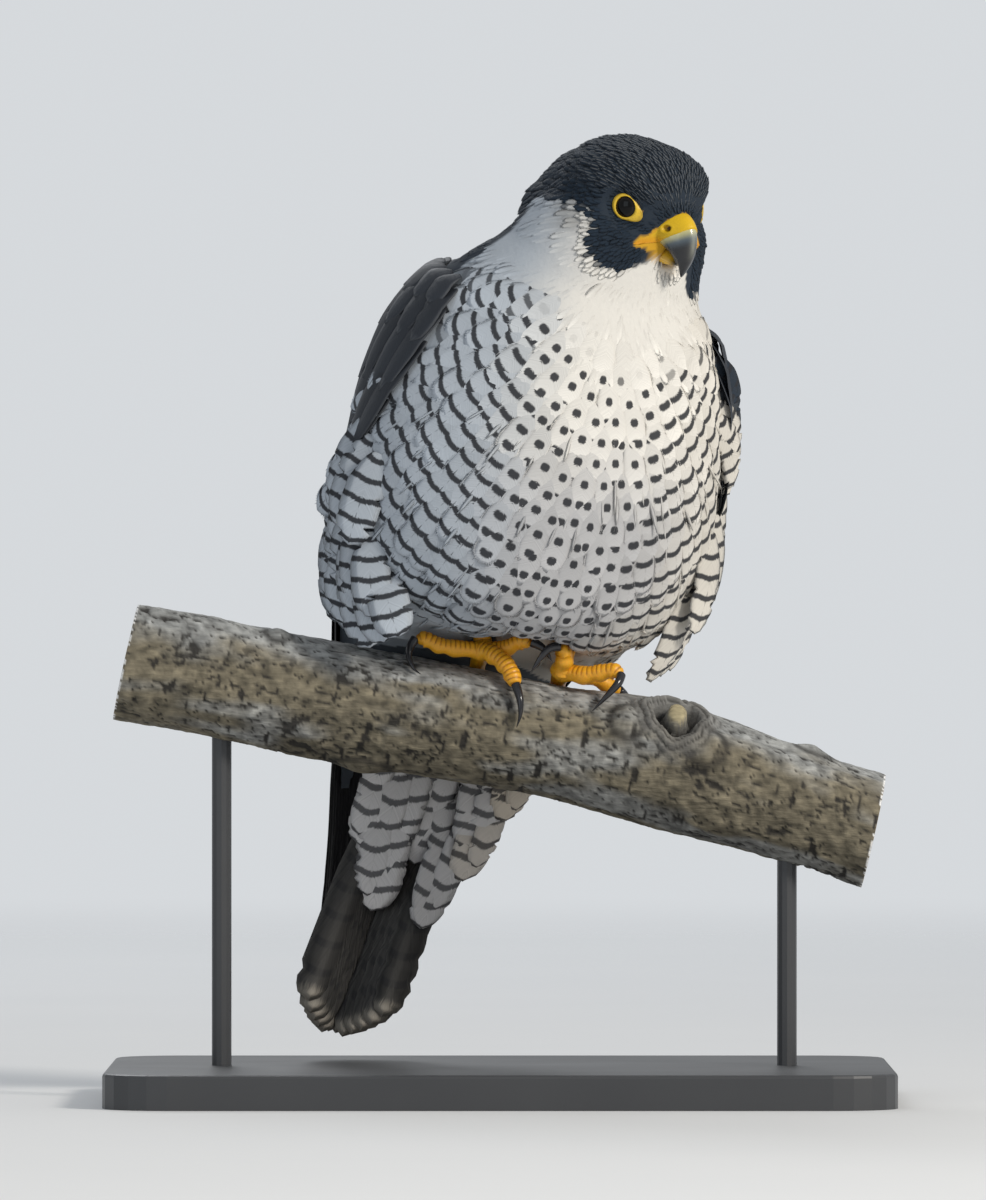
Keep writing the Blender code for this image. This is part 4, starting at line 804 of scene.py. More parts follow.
planting, planting_sockets = planting_tree()
POINT_LAYERS = (("turn", "FLOAT_VECTOR", "vector"), ("size", "FLOAT_VECTOR", "vector"),
                ("marks", "FLOAT_VECTOR", "vector"), ("trim", "FLOAT_VECTOR", "vector"),
                ("lay", "FLOAT_VECTOR", "vector"), ("phase", "FLOAT_VECTOR", "vector"),
                ("root_uv", "FLOAT_VECTOR", "vector"), ("pick", "INT", "value"), ("tone", "FLOAT_COLOR", "color"))


def plant(name, points, templates, finish, wobble=0.04, seed=1):
    """One coat piece: a point for every feather, planted with templates and turned into a plain mesh."""
    mesh = bpy.data.meshes.new(name)
    mesh.vertices.add(len(points["place"]))
    mesh.vertices.foreach_set("co", points["place"].astype(np.float32).ravel())
    for key, kind, field in POINT_LAYERS:
        layer = mesh.attributes.new(key, kind, "POINT")
        layer.data.foreach_set(field, points[key].astype(np.int32 if kind == "INT" else np.float32).ravel())
    item = link(bpy.data.objects.new(name, mesh))
    modifier = item.modifiers.new("plant", "NODES")
    modifier.node_group = planting
    modifier[planting_sockets["Templates"]] = templates
    modifier[planting_sockets["Finish"]] = finish
    modifier[planting_sockets["Wobble"]] = wobble
    modifier[planting_sockets["Seed"]] = seed
    item.data = baked(item, name)
    item.modifiers.clear()
    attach(item, "root")
    item.data.calc_loop_triangles()
    print(name + ":", len(points["place"]), "feathers,", len(item.data.loop_triangles), "triangles")
    return item


# %% Roots on the skin
def smoothed_normals(mesh, rounds):
    """Normals of the broad form, without the small bumps of the remesh."""
    edges = np.empty(len(mesh.edges) * 2, np.int32)
    mesh.edges.foreach_get("vertices", edges)
    a, b = edges.reshape(-1, 2).T
    normals = normals_of(mesh)
    for _ in range(rounds):
        total = normals.copy()
        np.add.at(total, a, normals[b])
        np.add.at(total, b, normals[a])
        normals = unit(total)
    return normals


broad_normals = smoothed_normals(skin.data, 14)
skin_points = kdtree.KDTree(len(skin.data.vertices))
for i, co in enumerate(coordinates(skin.data)):
    skin_points.insert(co, i)
skin_points.balance()


def normals_at(spots):
    """The broad form's normal at the skin's vertex nearest to each spot."""
    return np.array([broad_normals[skin_points.find(spot)[1]] for spot in spots])


def skin_samples(count, seed):
    """Even random spots on the skin."""
    mesh = skin.data
    mesh.calc_loop_triangles()
    tris = np.empty(len(mesh.loop_triangles) * 3, np.int32)
    mesh.loop_triangles.foreach_get("vertices", tris)
    tris = tris.reshape(-1, 3)
    co = coordinates(mesh)
    a, b, c = co[tris[:, 0]], co[tris[:, 1]], co[tris[:, 2]]
    area = np.linalg.norm(np.cross(b - a, c - a), axis=1)
    rng = np.random.default_rng(seed)
    pick = rng.choice(len(tris), count, p=area / area.sum())
    r1, r2 = np.sqrt(rng.random(count)), rng.random(count)
    w = np.stack([1 - r1, r1 * (1 - r2), r1 * r2], 1)[:, :, None]
    return (co[tris[pick]] * w).sum(1)


def thinned(spots, spacing):
    """Indices of a subset of spots no two of which are closer than the spacing, one number or one for each spot."""
    spacing = np.broadcast_to(spacing, len(spots))
    kept, grid = [], {}
    cell = float(spacing.max())
    for i, key in enumerate(np.floor(spots / cell).astype(int)):
        near = False
        for shift in range(27):
            box = (key[0] + shift % 3 - 1, key[1] + shift // 3 % 3 - 1, key[2] + shift // 9 - 1)
            for j in grid.get(box, ()):
                d = spots[i] - spots[j]
                near = near or d @ d < spacing[i] * spacing[i]
            if near:
                break
        if not near:
            kept.append(i)
            grid.setdefault(tuple(key), []).append(i)
    return np.array(kept)


def lie_of_plumage(points, normals):
    """Which way feathers point: away from the bill over the head, away from the throat over the trunk."""
    phi, _ = trunk_angles(points)
    across, down = plan(points)
    head = into(HEAD, points)
    away = turned(HEAD, unit(unit(head - np.array((0.0, -24.0, -6.0))) + np.array((0, 0.35, -0.25))))
    angle = np.arctan2(across, np.maximum(down, 45))
    around = np.stack([np.cos(np.radians(phi)), np.sin(np.radians(phi)), np.zeros_like(phi)], 1)
    trunk = around * np.sin(angle)[:, None] + np.array((0, 0.25, -1)) * np.cos(angle)[:, None]
    trunk = turned(STANCE, unit(trunk))
    on_head = smooth(head[:, 2], -50, -24)[:, None]
    lie = mixed(trunk, away, on_head)
    lie -= normals * (lie * normals).sum(1, keepdims=True)
    return unit(lie)


def turns_of(normals, lies, lift):
    """Euler angles that point +Y along the lie, raised by a lift in degrees, and +Z outward."""
    rise = np.radians(lift)[:, None]
    y = lies * np.cos(rise) + normals * np.sin(rise)
    x = unit(np.cross(y, normals))
    z = np.cross(x, y)
    return np.array([Matrix((a, b, c)).transposed().to_euler() for a, b, c in zip(x, y, z)])


def trunk_uv(points):
    """The skin unrolled: around it to the side, along it upwards."""
    phi, up = trunk_angles(points)
    return np.stack([phi / 360 + 0.5, (up + 80) / 340, np.zeros_like(up)], 1)


def head_uv(points):
    """The head unrolled from the crown: the way round it and the way down it."""
    head = into(HEAD, points) - np.array((0, 4.0, 0))
    round_it = np.arctan2(head[:, 0], -head[:, 1])
    down_it = np.arccos(np.clip(unit(head)[:, 2], -1, 1)) / math.pi
    return np.stack([0.5 + 0.45 * down_it * np.sin(round_it), 0.5 - 0.45 * down_it * np.cos(round_it),
                     np.zeros(len(points))], 1)


def feather_points(spots, lengths, widths, lift, seed, uv, picks=5, marked=False):
    """All that the planting tree reads, for feathers rooted at these spots."""
    rng = np.random.default_rng(seed)
    n = len(spots)
    normals = normals_at(spots)
    lies = lie_of_plumage(spots, normals)
    tone, marks, trim = markings(spots + lies * (lengths * 0.8 / 1000)[:, None])
    if not marked:
        marks = marks * 0
    tint = np.ones((n, 4))
    tint[:, :3] = tone * (1 + 0.12 * (rng.random((n, 1)) - 0.5))
    phase = np.stack([0.5 - 0.79 * lengths / BAR_PITCH, lengths / BAR_PITCH, rng.random(n)], 1)
    return {"place": spots, "turn": turns_of(normals, lies, lift + rng.normal(0, 1.0, n)), "lay": normals,
            "size": np.stack([widths, lengths, lengths], 1) / 1000, "marks": marks, "trim": trim, "phase": phase,
            "tone": tint, "pick": rng.integers(0, picks, n), "root_uv": uv(spots)}


def subset(points, mask):
    """The points that a mask picks, with all they carry."""
    return {key: value[mask] for key, value in points.items()}


# %% Plumage finish
BAR_PITCH = 9.5


def vane_pattern():
    """Colours of one feather: a bar or drop of some width, a dark shaft, a pale streak, a pale rim and painted shade
    at the root.
    """
    vector, colour, number = "NodeSocketVector", "NodeSocketColor", "NodeSocketFloat"
    group, given, out = shader_group(
        "vane_pattern",
        (("Vane", vector, None), ("Tone", colour, None), ("Marks", vector, None), ("Trim", vector, None),
         ("Phase", vector, None), ("Lay", vector, None), ("Softness", number, 0.5), ("Tip", number, 0.0),
         ("Dark", colour, (0.013, 0.015, 0.021, 1)), ("Pale", colour, (0.20, 0.20, 0.20, 1))),
        (("Color", colour), ("Height", number), ("Normal", vector)))

    def calc(operation, a, b=0.0, c=0.0):
        return maths(group, operation, a, b, c)

    def rise(value, low, high):
        return ramp_between(group, value, low, high)

    def fall(value, low, high):
        return one_less(group, rise(value, low, high))

    vane, marks, trim, phase = (add(group, "ShaderNodeSeparateXYZ", None, Vector=given[name]).outputs
                                for name in ("Vane", "Marks", "Trim", "Phase"))
    side, along = calc("ABSOLUTE", vane[0]), vane[1]
    barb = calc("SUBTRACT", calc("MULTIPLY", along, 40.0), calc("MULTIPLY", side, 9.0))
    ragged = calc("SUBTRACT", noise_along(group, calc("MULTIPLY_ADD", phase[2], 91.0, barb)), 0.5)

    # Where each spot stands in the wave of bars, which bow towards the root at the feather's edges
    wave = calc("MULTIPLY_ADD", along, phase[1], phase[0])
    wave = calc("MULTIPLY_ADD", calc("MULTIPLY", side, side), 0.32, wave)
    wave = calc("MULTIPLY_ADD", ragged, 0.12, wave)
    wave = calc("MULTIPLY_ADD", calc("SUBTRACT", phase[2], 0.5), 0.10, wave)
    place = calc("ABSOLUTE", calc("SUBTRACT", calc("FRACT", wave), 0.5))

    # A bar of that wave, cut to an oval drop where the marks are narrow
    narrow = fall(marks[1], 0.35, 0.9)
    depth = calc("DIVIDE", place, calc("MULTIPLY_ADD", narrow, 0.08, 0.15))
    wide = calc("DIVIDE", side, calc("MAXIMUM", marks[1], 0.05))
    tall = calc("MULTIPLY", depth, calc("MULTIPLY_ADD", narrow, 0.55, 0.30))
    fit = calc("ADD", calc("MULTIPLY", wide, wide), calc("MULTIPLY", tall, tall))
    within = fall(calc("MULTIPLY_ADD", ragged, 0.5, fit), 0.60, 1.05)
    bar = calc("MULTIPLY", calc("MULTIPLY", fall(depth, 0.62, 1.20), marks[0]), within)
    shaft = calc("LESS_THAN", side, calc("MULTIPLY_ADD", calc("SUBTRACT", 0.5, place), 0.14, -0.01))
    shaft = calc("MULTIPLY", shaft, calc("MULTIPLY", marks[2], rise(along, 0.4, 0.6)))
    dark = calc("MAXIMUM", calc("MULTIPLY", bar, 0.96), calc("MULTIPLY", shaft, 0.75))
    colour = blend_colours(group, dark, given["Tone"], given["Dark"])

    # Pale rim, pale streak along the shaft and pale tip
    rim = calc("MAXIMUM", rise(side, 0.70, 1.0), rise(along, 0.88, 1.0))
    colour = blend_colours(group, calc("MULTIPLY", rim, trim[0]), colour, given["Pale"])
    streak = calc("MULTIPLY", fall(side, 0.10, 0.32), calc("MULTIPLY", trim[1], 0.55))
    colour = blend_colours(group, streak, colour, given["Pale"])
    tip = calc("MULTIPLY", rise(calc("MULTIPLY_ADD", ragged, 0.03, along), 0.925, 0.97), given["Tip"])
    colour = blend_colours(group, tip, colour, (0.46, 0.42, 0.36, 1))

    # Light and dark barbs, and painted shade that darkens each feather towards its root, where the feathers overlap
    fine = calc("SUBTRACT", calc("MULTIPLY", along, 150.0), calc("MULTIPLY", side, 34.0))
    fine = noise_along(group, calc("MULTIPLY_ADD", phase[2], 57.0, fine))
    barbs_and_root_shade = calc("MULTIPLY", calc("MULTIPLY_ADD", ragged, 0.30, 1.0), calc("MULTIPLY_ADD", fine, 0.36, 0.82))
    # Painted shade: the root is darker where it lies under the feathers above
    barbs_and_root_shade = calc("MULTIPLY", barbs_and_root_shade, calc("MULTIPLY_ADD", rise(along, 0.3, 0.9), 0.16, 0.86))
    group.links.new(blend_colours(group, 1.0, colour, grey_level(group, barbs_and_root_shade), "MULTIPLY"), out["Color"])
    group.links.new(ragged, out["Height"])

    # The normal leans to that of the whole plumage, but not on the feather's underside
    own = add(group, "ShaderNodeNewGeometry").outputs["Normal"]
    facing = vector_maths(group, "DOT_PRODUCT", own, given["Lay"], "Value")
    share = calc("MULTIPLY", given["Softness"], rise(facing, 0.0, 0.35))
    bent = add(group, "ShaderNodeMix", {"data_type": "VECTOR"}, i0=share, i4=own, i5=given["Lay"]).outputs[1]
    group.links.new(vector_maths(group, "NORMALIZE", bent), out["Normal"])
    return group


pattern = vane_pattern()


def plumage(name, roughness, softness, pale=None, tip=0.0, **sockets):
    """A feather material that reads its pattern from the feathers' own attributes."""
    finish, tree, shader = new_material(name, roughness, **sockets)
    drawn = tree.nodes.new("ShaderNodeGroup")
    drawn.node_tree = pattern
    for key in ("vane", "tone", "marks", "trim", "phase", "lay"):
        tree.links.new(attribute(tree, key, "Color" if key == "tone" else "Vector"), drawn.inputs[key.title()])
    drawn.inputs["Softness"].default_value = softness
    drawn.inputs["Tip"].default_value = tip
    if pale:
        drawn.inputs["Pale"].default_value = (*pale, 1)
    bumps = relief(tree, 0.35, 0.0003, drawn.outputs["Height"], Normal=drawn.outputs["Normal"])
    tree.links.new(drawn.outputs["Color"], shader.inputs["Base Color"])
    tree.links.new(bumps, shader.inputs["Normal"])
    return finish


soft_plumage = plumage("soft_plumage", 0.85, 0.62)
cotton_plumage = plumage("cotton_plumage", 0.9, 0.8)
sleek_plumage = plumage("sleek_plumage", 0.65, 0.7, pale=(0.17, 0.17, 0.165), Specular_IOR_Level=0.18)
mantle_finish = plumage("mantle_plumage", 0.65, 0.5, pale=(0.12, 0.13, 0.145), Specular_IOR_Level=0.2)

# %% [markdown]
# ## The marked plumage of belly and flanks
#
# The barred feathers of a falcon stand in rows that ring the throat like ripples. Each shows about nine millimetres
# of itself beyond the row above, and there carries one bar, so the bars of a row join into one wavy line. The rows
# are laid out on the unrolled trunk, and rays bring every root down onto the skin.

# %% Marked plumage
# Heights above the perch and how far back the middle of the trunk lies there; below the turn, rays slant under it
TRUNK_BACKS = ((194, -20), (180, -12), (164, -6), (138, -1), (105, 2), (75, 6), (48, 14), (26, 26))
UNDER_TURN = 46.0


def trunk_middle(up):
    """The middle of the trunk at some height above the perch in millimetres, in metres in the stance frame."""
    back = float(np.interp(-up, [-row[0] for row in TRUNK_BACKS], [row[1] for row in TRUNK_BACKS]))
    return Vector((0, back, up)) / 1000


def cast_root(across, down):
    """The skin under a spot of the unrolled trunk."""
    phi = math.radians(across / AROUND)
    up = max(THROAT - down, UNDER_TURN)
    tilt = max(0.0, down - (THROAT - UNDER_TURN)) / 62
    ray = Vector((math.sin(phi) * math.cos(tilt), -math.cos(phi) * math.cos(tilt), -math.sin(tilt)))
    start, ray = STANCE @ (trunk_middle(up) + ray * 0.2), STANCE.to_3x3() @ ray
    return skin_tree.ray_cast(start, -ray, 0.25)[0]


FAN = math.radians(250)
rng = np.random.default_rng(31)
roots = []
for row in range(3, 30):
    reach = row * BAR_PITCH
    count = int(FAN * reach / 9.8)
    for k in range(count):
        turn = -FAN / 2 + FAN * (k + 0.5 * (row % 2)) / count + rng.normal(0, 0.5) / reach
        away = reach + rng.normal(0, 0.5)
        across, down = away * math.sin(turn), away * math.cos(turn)
        if abs(across) / AROUND > 104 or down < -6 or down > 178:
            continue
        spot = cast_root(across, down)
        if spot is not None:
            roots.append(spot)
roots = np.array(roots)
phi, up = trunk_angles(roots)
head_place = into(HEAD, roots)
showing = up < curve(FIRST_MARKS, phi) + 26
covered = (np.abs(phi) > curve(CLOAK_EDGE, up) + 2) & (up > 96)
keep = showing & ~covered & (head_place[:, 2] < NECK_LINE)
roots, phi, up = roots[keep], phi[keep], up[keep]
lengths = 24.5 + rng.normal(0, 0.5, len(roots)) - 8 * smooth(-up, -52, -20)
widths = 15.5 + rng.normal(0, 0.5, len(roots))
marked = feather_points(roots, lengths, widths, 2.6, 21, trunk_uv, picks=6, marked=True)
pale = marked["tone"][:, 2] > 0.15
marked, phi, up = subset(marked, pale), phi[pale], up[pale]
high = up > 100
for name, mask in (("breast_marked", high), ("belly_marked", ~high & (phi > -12)),
                   ("flank_marked", ~high & (phi <= -12))):
    plant(name, subset(marked, mask), marked_feathers, soft_plumage, seed=3)

# %% [markdown]
# ## Loose wisps
#
# Over the belly and flanks single pale barbs come loose from their feathers and lie across the bars.

# %% Wisps
spots = skin_samples(16000, 15)
phi, up = trunk_angles(spots)
front = (np.abs(phi) < curve(CLOAK_EDGE, up) - 12) & (up < 116) & (up > 8)
spots = spots[front]
spots = spots[thinned(spots, 0.0076)]
rng = np.random.default_rng(33)
loose = feather_points(spots, rng.uniform(11, 18, len(spots)), rng.uniform(1.4, 2.4, len(spots)), 5.0, 34, trunk_uv)
plant("loose_wisps", loose, wisps, cotton_plumage, 0.12, 9)

# %% [markdown]
# ## The plain plumage of throat and breast
#
# Above the first marks the plumage is cream and so fine that single feathers hardly show. Small feathers stand
# close together there, and reach a little way down between the marked ones.

# %% Plain plumage
spots = skin_samples(60000, 11)
head_place = into(HEAD, spots)
phi, up = trunk_angles(spots)
above = up > curve(FIRST_MARKS, phi) - 4
cloak = (np.abs(phi) > curve(CLOAK_EDGE, up) + 4) & (up > 60)
spots = spots[(head_place[:, 2] < NECK_LINE + 5) & above & ~cloak & (up > 96)]
spots = spots[thinned(spots, 0.0025)]
head_place = into(HEAD, spots)
lengths = 11.5 + 2.5 * smooth(-head_place[:, 2], 34, 60)
widths = 4.6 + 1.0 * smooth(-head_place[:, 2], 34, 60)
throat = feather_points(spots, lengths, widths, 1.6, 23, trunk_uv)
throat["size"][:, 2] *= 0.6
plant("throat_plumage", throat, breast_feathers, cotton_plumage, 0.02, 4)

# %% [markdown]
# ## The head's plumage
#
# The feathers of the face are the smallest of all: three to five millimetres long, sleek, and pointing away from
# the bill. They leave the eye, its bare ring and the cere free.

# %% Head plumage
spots = skin_samples(170000, 12)
spots = spots[into(HEAD, spots)[:, 2] > NECK_LINE]
spots = spots[feathered(spots)]
away = np.linalg.norm(into(HEAD, spots) - (0, -22, -4), axis=1)
kept = thinned(spots, (1.15 + 0.85 * smooth(away, 15, 60)) / 1000)
spots = spots[kept]
away = np.linalg.norm(into(HEAD, spots) - (0, -22, -4), axis=1)
lengths = 3.4 + 4.6 * smooth(away, 12, 60)
widths = 1.7 + 2.0 * smooth(away, 12, 60)
hooded = darkness(spots)[0] > 0.4
front = into(HEAD, spots)[:, 1] < 4
head_points = feather_points(spots, lengths, widths, 5.0, 22, head_uv)
plant("face_plumage", subset(head_points, front & hooded), head_feathers, sleek_plumage, 0.06, 5)
plant("nape_plumage", subset(head_points, ~front & hooded), head_feathers, sleek_plumage, 0.06, 6)
spots = spots[~hooded]
reach = smooth(np.linalg.norm(into(HEAD, spots) - (0, -30, -14), axis=1), 14, 34)
kept = thinned(spots, 0.0015 + 0.0006 * reach)
spots, reach = spots[kept], reach[kept]
pale = feather_points(spots, 5.6 + 5.5 * reach, 2.8 + 1.8 * reach, 1.5 - 4.0 * (1 - reach), 24, head_uv)
pale["size"][:, 2] *= 0.6
plant("cheek_plumage", pale, cheek_feathers, cotton_plumage, 0.02, 7)

# %% [markdown]
# ## Flight feathers
#
# Wing and tail feathers are stiff, so they are not scattered. Each is drawn along its own shaft over a smooth face:
# the folded wing is one such face, told by a table of heights and angles around the trunk, and the feathers lie on
# it in tiers, every tier's tips over the roots of the next.

# %% The folded wing's face
# Over the trunk: height, angles of both edges around it, and height of the face over it at the edges, in metres
WING_UPPER = (
    (0.174, 74, 150, 0.0004, 0.0020), (0.160, 68, 168, 0.0012, 0.0036), (0.138, 69, 175, 0.0014, 0.0045),
    (0.105, 78, 177, 0.0008, 0.0046), (0.075, 90, 177, 0.0000, 0.0046), (0.048, 96, 177, 0.0005, 0.0055),
    (0.026, 100, 176, 0.0020, 0.0065),
)
# Below it: four points from the outer to the inner edge, in millimetres
WING_LOWER = (
    ((60, 53, -2), (51, 68, -2), (32, 79, -2), (6, 84, -2)),
    ((48.5, 61, -36), (40, 75, -36), (24, 82, -36), (5, 86, -36)),
    ((39.5, 70, -68), (32, 80, -68), (19, 86, -68), (4.5, 88, -68)),
    ((31, 79, -97), (25, 86, -97), (15, 91, -97), (6, 92, -97)),
    ((24.5, 87, -122), (20, 92, -123), (14, 95, -123), (8.5, 96, -121)),
    ((20, 91.5, -143), (18, 94.5, -145), (15, 96.5, -145), (11.5, 98, -141)),
    ((17.2, 95, -155), (16.4, 96.2, -158), (15.4, 97.2, -157), (14.4, 98, -153)),
)


def wing_rows(side):
    """Rows of points across the wing's face, from the shoulder down, in metres in the stance frame."""
    rows = []
    for height, lead, trail, low, high in WING_UPPER:
        rows.append([trunk_point(height, lead + (trail - lead) * k / 3, low + (high - low) * share, side)
                     for k, share in enumerate((0, 0.2, 0.9, 0.9))])
    rows += [[tuple(c / 1000 for c in point) for point in row] for row in WING_LOWER]
    return np.array(rows)


def wing_face(side):
    """A function that gives points and outward normals of the folded wing in the stance frame, in metres."""
    rows = wing_rows(side)

    def spot(s, t):
        across = spline(rows, np.asarray(s) * (len(rows) - 1))
        places = np.clip(np.asarray(t) * 3, 0, 3)
        made = np.empty((len(places), 3))
        for k in range(len(places)):
            made[k] = spline(across[k], places[k:k + 1])[0]
        made[:, 0] *= side
        return made

    def face(s, t):
        s, t = np.asarray(s, float), np.asarray(t, float)
        step = 0.012
        s1, t1 = np.clip(s, step, 1 - step), np.clip(t, step, 1 - step)
        down = spot(s1 + step, t1) - spot(s1 - step, t1)
        over = spot(s1, t1 + step) - spot(s1, t1 - step)
        return spot(s, t), unit(np.cross(down, over)) * side
    return face


# %% Closed meshes from rings of points
def ring_faces(rows, sides, start=0, ends=True):
    """Faces of a tube whose vertices are numbered ring by ring from the start, closed at its ends if wanted."""
    faces = []
    last = start + (rows - 1) * sides
    for low in range(start, last, sides):
        for k in range(sides):
            m = (k + 1) % sides
            faces.append((low + k, low + m, low + sides + m, low + sides + k))
    if ends:
        faces.append(tuple(range(start, start + sides))[::-1])
        faces.append(tuple(range(last, last + sides)))
    return faces


def finished_piece(name, mesh, finish, replaced=(), triangles=False):
    """Turns the faces of a closed mesh outward, gives it its finish, puts it into the scene under the root and hides
    the solids that it replaces.
    """
    bm = bmesh.new()
    bm.from_mesh(mesh)
    bmesh.ops.recalc_face_normals(bm, faces=bm.faces)
    if triangles:
        bmesh.ops.triangulate(bm, faces=bm.faces)
    bm.to_mesh(mesh)
    bm.free()
    mesh.shade_smooth()
    mesh.materials.append(finish)
    item = link(bpy.data.objects.new(name, mesh))
    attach(item, "root")
    if replaced:
        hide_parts(*replaced)
    return item


# %% Stiff feathers drawn along their shafts
def pointed_outline(share):
    """Half width of a feather along its shaft: full from a third of it on, then closing to a rounded tip."""
    grow = 0.45 + 0.55 * np.minimum(1, share / 0.30) ** 0.7
    return grow * np.sqrt(np.maximum(0.0, 1 - np.maximum(0, (share - 0.62) / 0.38) ** 2.0))


def tail_outline(share):
    """Half width of a tail feather along its shaft: even up to a blunt end."""
    grow = 0.45 + 0.55 * np.minimum(1, share / 0.5)
    return grow * np.sqrt(np.maximum(0.0, 1 - np.maximum(0, (share - 0.86) / 0.14) ** 2.2))


def stiff_feather(centres, outs, half, left=1.0, right=1.0, roll=0.0, camber=0.10, thick=0.00035, seed=0,
                  outline=pointed_outline, notches=0.12):
    """Vertices, faces and vane coordinates of one closed feather along a shaft, with a few split barbs."""
    rng = np.random.default_rng(seed)
    n = len(centres)
    share = np.linspace(0, 1, n)
    along = unit(np.gradient(centres, axis=0))
    across = unit(np.cross(outs, along))
    up = np.cross(along, across)
    turn = math.radians(roll)
    side = across * math.cos(turn) + up * math.sin(turn)
    top = up * math.cos(turn) - across * math.sin(turn)
    w = np.maximum(0.02, outline(share)) * half
    columns = np.array((-1, -0.55, 0, 0.55, 1, 0.0))
    split = np.ones((n, 2)) - notches * (rng.random((n, 2)) < 0.22) * rng.random((n, 2)) * 1.6
    verts = np.empty((n, 6, 3))
    for k, x in enumerate(columns):
        width, barbs = (left, split[:, 0]) if x < 0 else (right, split[:, 1])
        edge = abs(x) == 1
        reach = x * w * (width * (barbs if edge else 1))
        # The third column is the shaft's ridge, the last lies under it
        drop = -camber * x * x * w - (thick * 2.2 if k == 5 else 0) - (thick * 0.4 if edge else 0)
        ridge = thick * 0.9 if k == 2 else 0.0
        verts[:, k] = centres + side * reach[:, None] + top * np.reshape(drop + ridge, (-1, 1))
        if edge:
            verts[:, k] += along * (w * 0.18)[:, None]
    vane = np.zeros((n, 6, 3))
    vane[:, :, 0] = columns
    vane[:, :, 1] = share[:, None]
    vane[:, :, 2] = rng.random()
    return verts.reshape(-1, 3), ring_faces(n, 6), vane.reshape(-1, 3), np.repeat(outs, 6, axis=0)


def feather_piece(name, feathers, finish):
    """Joins drawn feathers into one mesh: each entry has a feather and its tone, marks, trim, phase and root place."""
    verts, faces = [], []
    columns = {"vane": [], "lay": [], "tone": [], "marks": [], "trim": [], "phase": [], "root": []}
    start = 0
    for (points, rows, vane, lay), tone, marks, trim, phase, root in feathers:
        n = len(points)
        verts.append(points)
        columns["lay"].append(turned(STANCE, lay))
        faces += [tuple(v + start for v in face) for face in rows]
        start += n
        columns["vane"].append(vane)
        for key, value in (("tone", (*tone, 1)), ("marks", marks), ("trim", trim), ("phase", phase), ("root", root)):
            columns[key].append(np.tile(np.array(value, float), (n, 1)))
    verts = out_of(STANCE, np.concatenate(verts) * 1000)
    mesh = bpy.data.meshes.new(name)
    mesh.from_pydata(verts.tolist(), [], faces)
    columns = {key: np.concatenate(value) for key, value in columns.items()}
    for key in ("vane", "lay", "marks", "trim", "phase"):
        layer = mesh.attributes.new(key, "FLOAT_VECTOR", "POINT")
        layer.data.foreach_set("vector", columns[key].astype(np.float32).ravel())
    layer = mesh.attributes.new("tone", "FLOAT_COLOR", "POINT")
    layer.data.foreach_set("color", columns["tone"].astype(np.float32).ravel())
    corners = np.empty(len(mesh.loops), np.int32)
    mesh.loops.foreach_get("vertex_index", corners)
    patch = columns["root"][corners] + columns["vane"][corners][:, :2] * VANE_PATCH
    mesh.uv_layers.new(name="OFBake").data.foreach_set("uv", patch.astype(np.float32).ravel())
    item = finished_piece(name, mesh, finish, triangles=True)
    print(name + ":", len(feathers), "feathers,", len(mesh.polygons), "triangles")
    return item


# %% [markdown]
# ## The wings
#
# From the shoulder down lie scapulars, lesser, median and greater coverts, the secondaries and, longest of all, the
# primaries that reach the tail. Their slate is almost black, with a thin paler rim on each feather.

# %% Wings
# Tier: how many, steps, root and tip along the wing for the first and last, root and tip across it, half width and
# lift in millimetres
WING_TIERS = (
    ("primary", 9, 26, (0.50, 0.52), (0.995, 0.74), (0.05, 0.76), (0.27, 0.82), 5.4, 0.0),
    ("secondary", 10, 20, (0.36, 0.38), (0.70, 0.57), (0.16, 0.95), (0.30, 0.93), 6.8, 0.7),
    ("greater_covert", 11, 14, (0.27, 0.28), (0.47, 0.44), (0.08, 0.93), (0.11, 0.93), 7.0, 1.2),
    ("median_covert", 11, 12, (0.19, 0.20), (0.36, 0.35), (0.05, 0.94), (0.08, 0.94), 7.0, 1.6),
    ("lesser_low", 11, 10, (0.13, 0.14), (0.28, 0.28), (0.04, 0.95), (0.06, 0.95), 6.6, 1.9),
    ("lesser_high", 11, 10, (0.08, 0.09), (0.21, 0.21), (0.04, 0.95), (0.06, 0.95), 6.4, 2.2),
    ("scapular_low", 10, 10, (0.03, 0.04), (0.15, 0.15), (0.05, 0.95), (0.07, 0.94), 6.6, 2.5),
    ("scapular_high", 9, 10, (0.0, 0.0), (0.09, 0.09), (0.08, 0.93), (0.10, 0.92), 6.8, 2.8),
)
WING_TONES = {"primary": (0.016, 0.016, 0.018), "secondary": (0.022, 0.024, 0.028)}
COVERT_TONE = (0.027, 0.032, 0.041)


def between(start, end, share):
    """What lies some share of the way from the start to the end."""
    return start + (end - start) * share


def wing_feathers(side):
    """The tiers of one folded wing, lowest first."""
    face = wing_face(side)
    rng = np.random.default_rng(40 + side)
    made = []
    for name, count, steps, starts, ends, over, over_tip, half, lift in WING_TIERS:
        for j in range(count):
            share = j / (count - 1)
            s0, t0 = between(*starts, share), between(*over, share)
            s1 = between(*ends, share) + rng.normal(0, 0.004)
            t1 = between(*over_tip, share) + rng.normal(0, 0.008)
            k = np.linspace(0, 1, steps)
            spots, outs = face(between(s0, s1, k), between(t0, t1, k))
            rise = (-1.8 + (lift + 2.2) * np.minimum(1, k / 0.40) + 0.3 * k) / 1000
            feather = stiff_feather(spots + outs * rise[:, None], outs, half * rng.uniform(0.94, 1.05) / 1000,
                                    roll=5 * side, seed=int(rng.integers(1e6)))
            tone = np.array(WING_TONES.get(name, COVERT_TONE)) * rng.uniform(0.85, 1.18)
            trim = (0.5 if name != "primary" else 0.28, 0, 0)
            root = (0.06 + 0.88 * (s0 + 0.03 * (j % 3)), 0.08 + 0.84 * t0)
            made.append((feather, tone, (0, 0, 0), trim, (0, 1, rng.random()), root))
    return made


wing_finish = plumage("wing_plumage", 0.55, 0.35, pale=(0.13, 0.14, 0.155), Specular_IOR_Level=0.25)


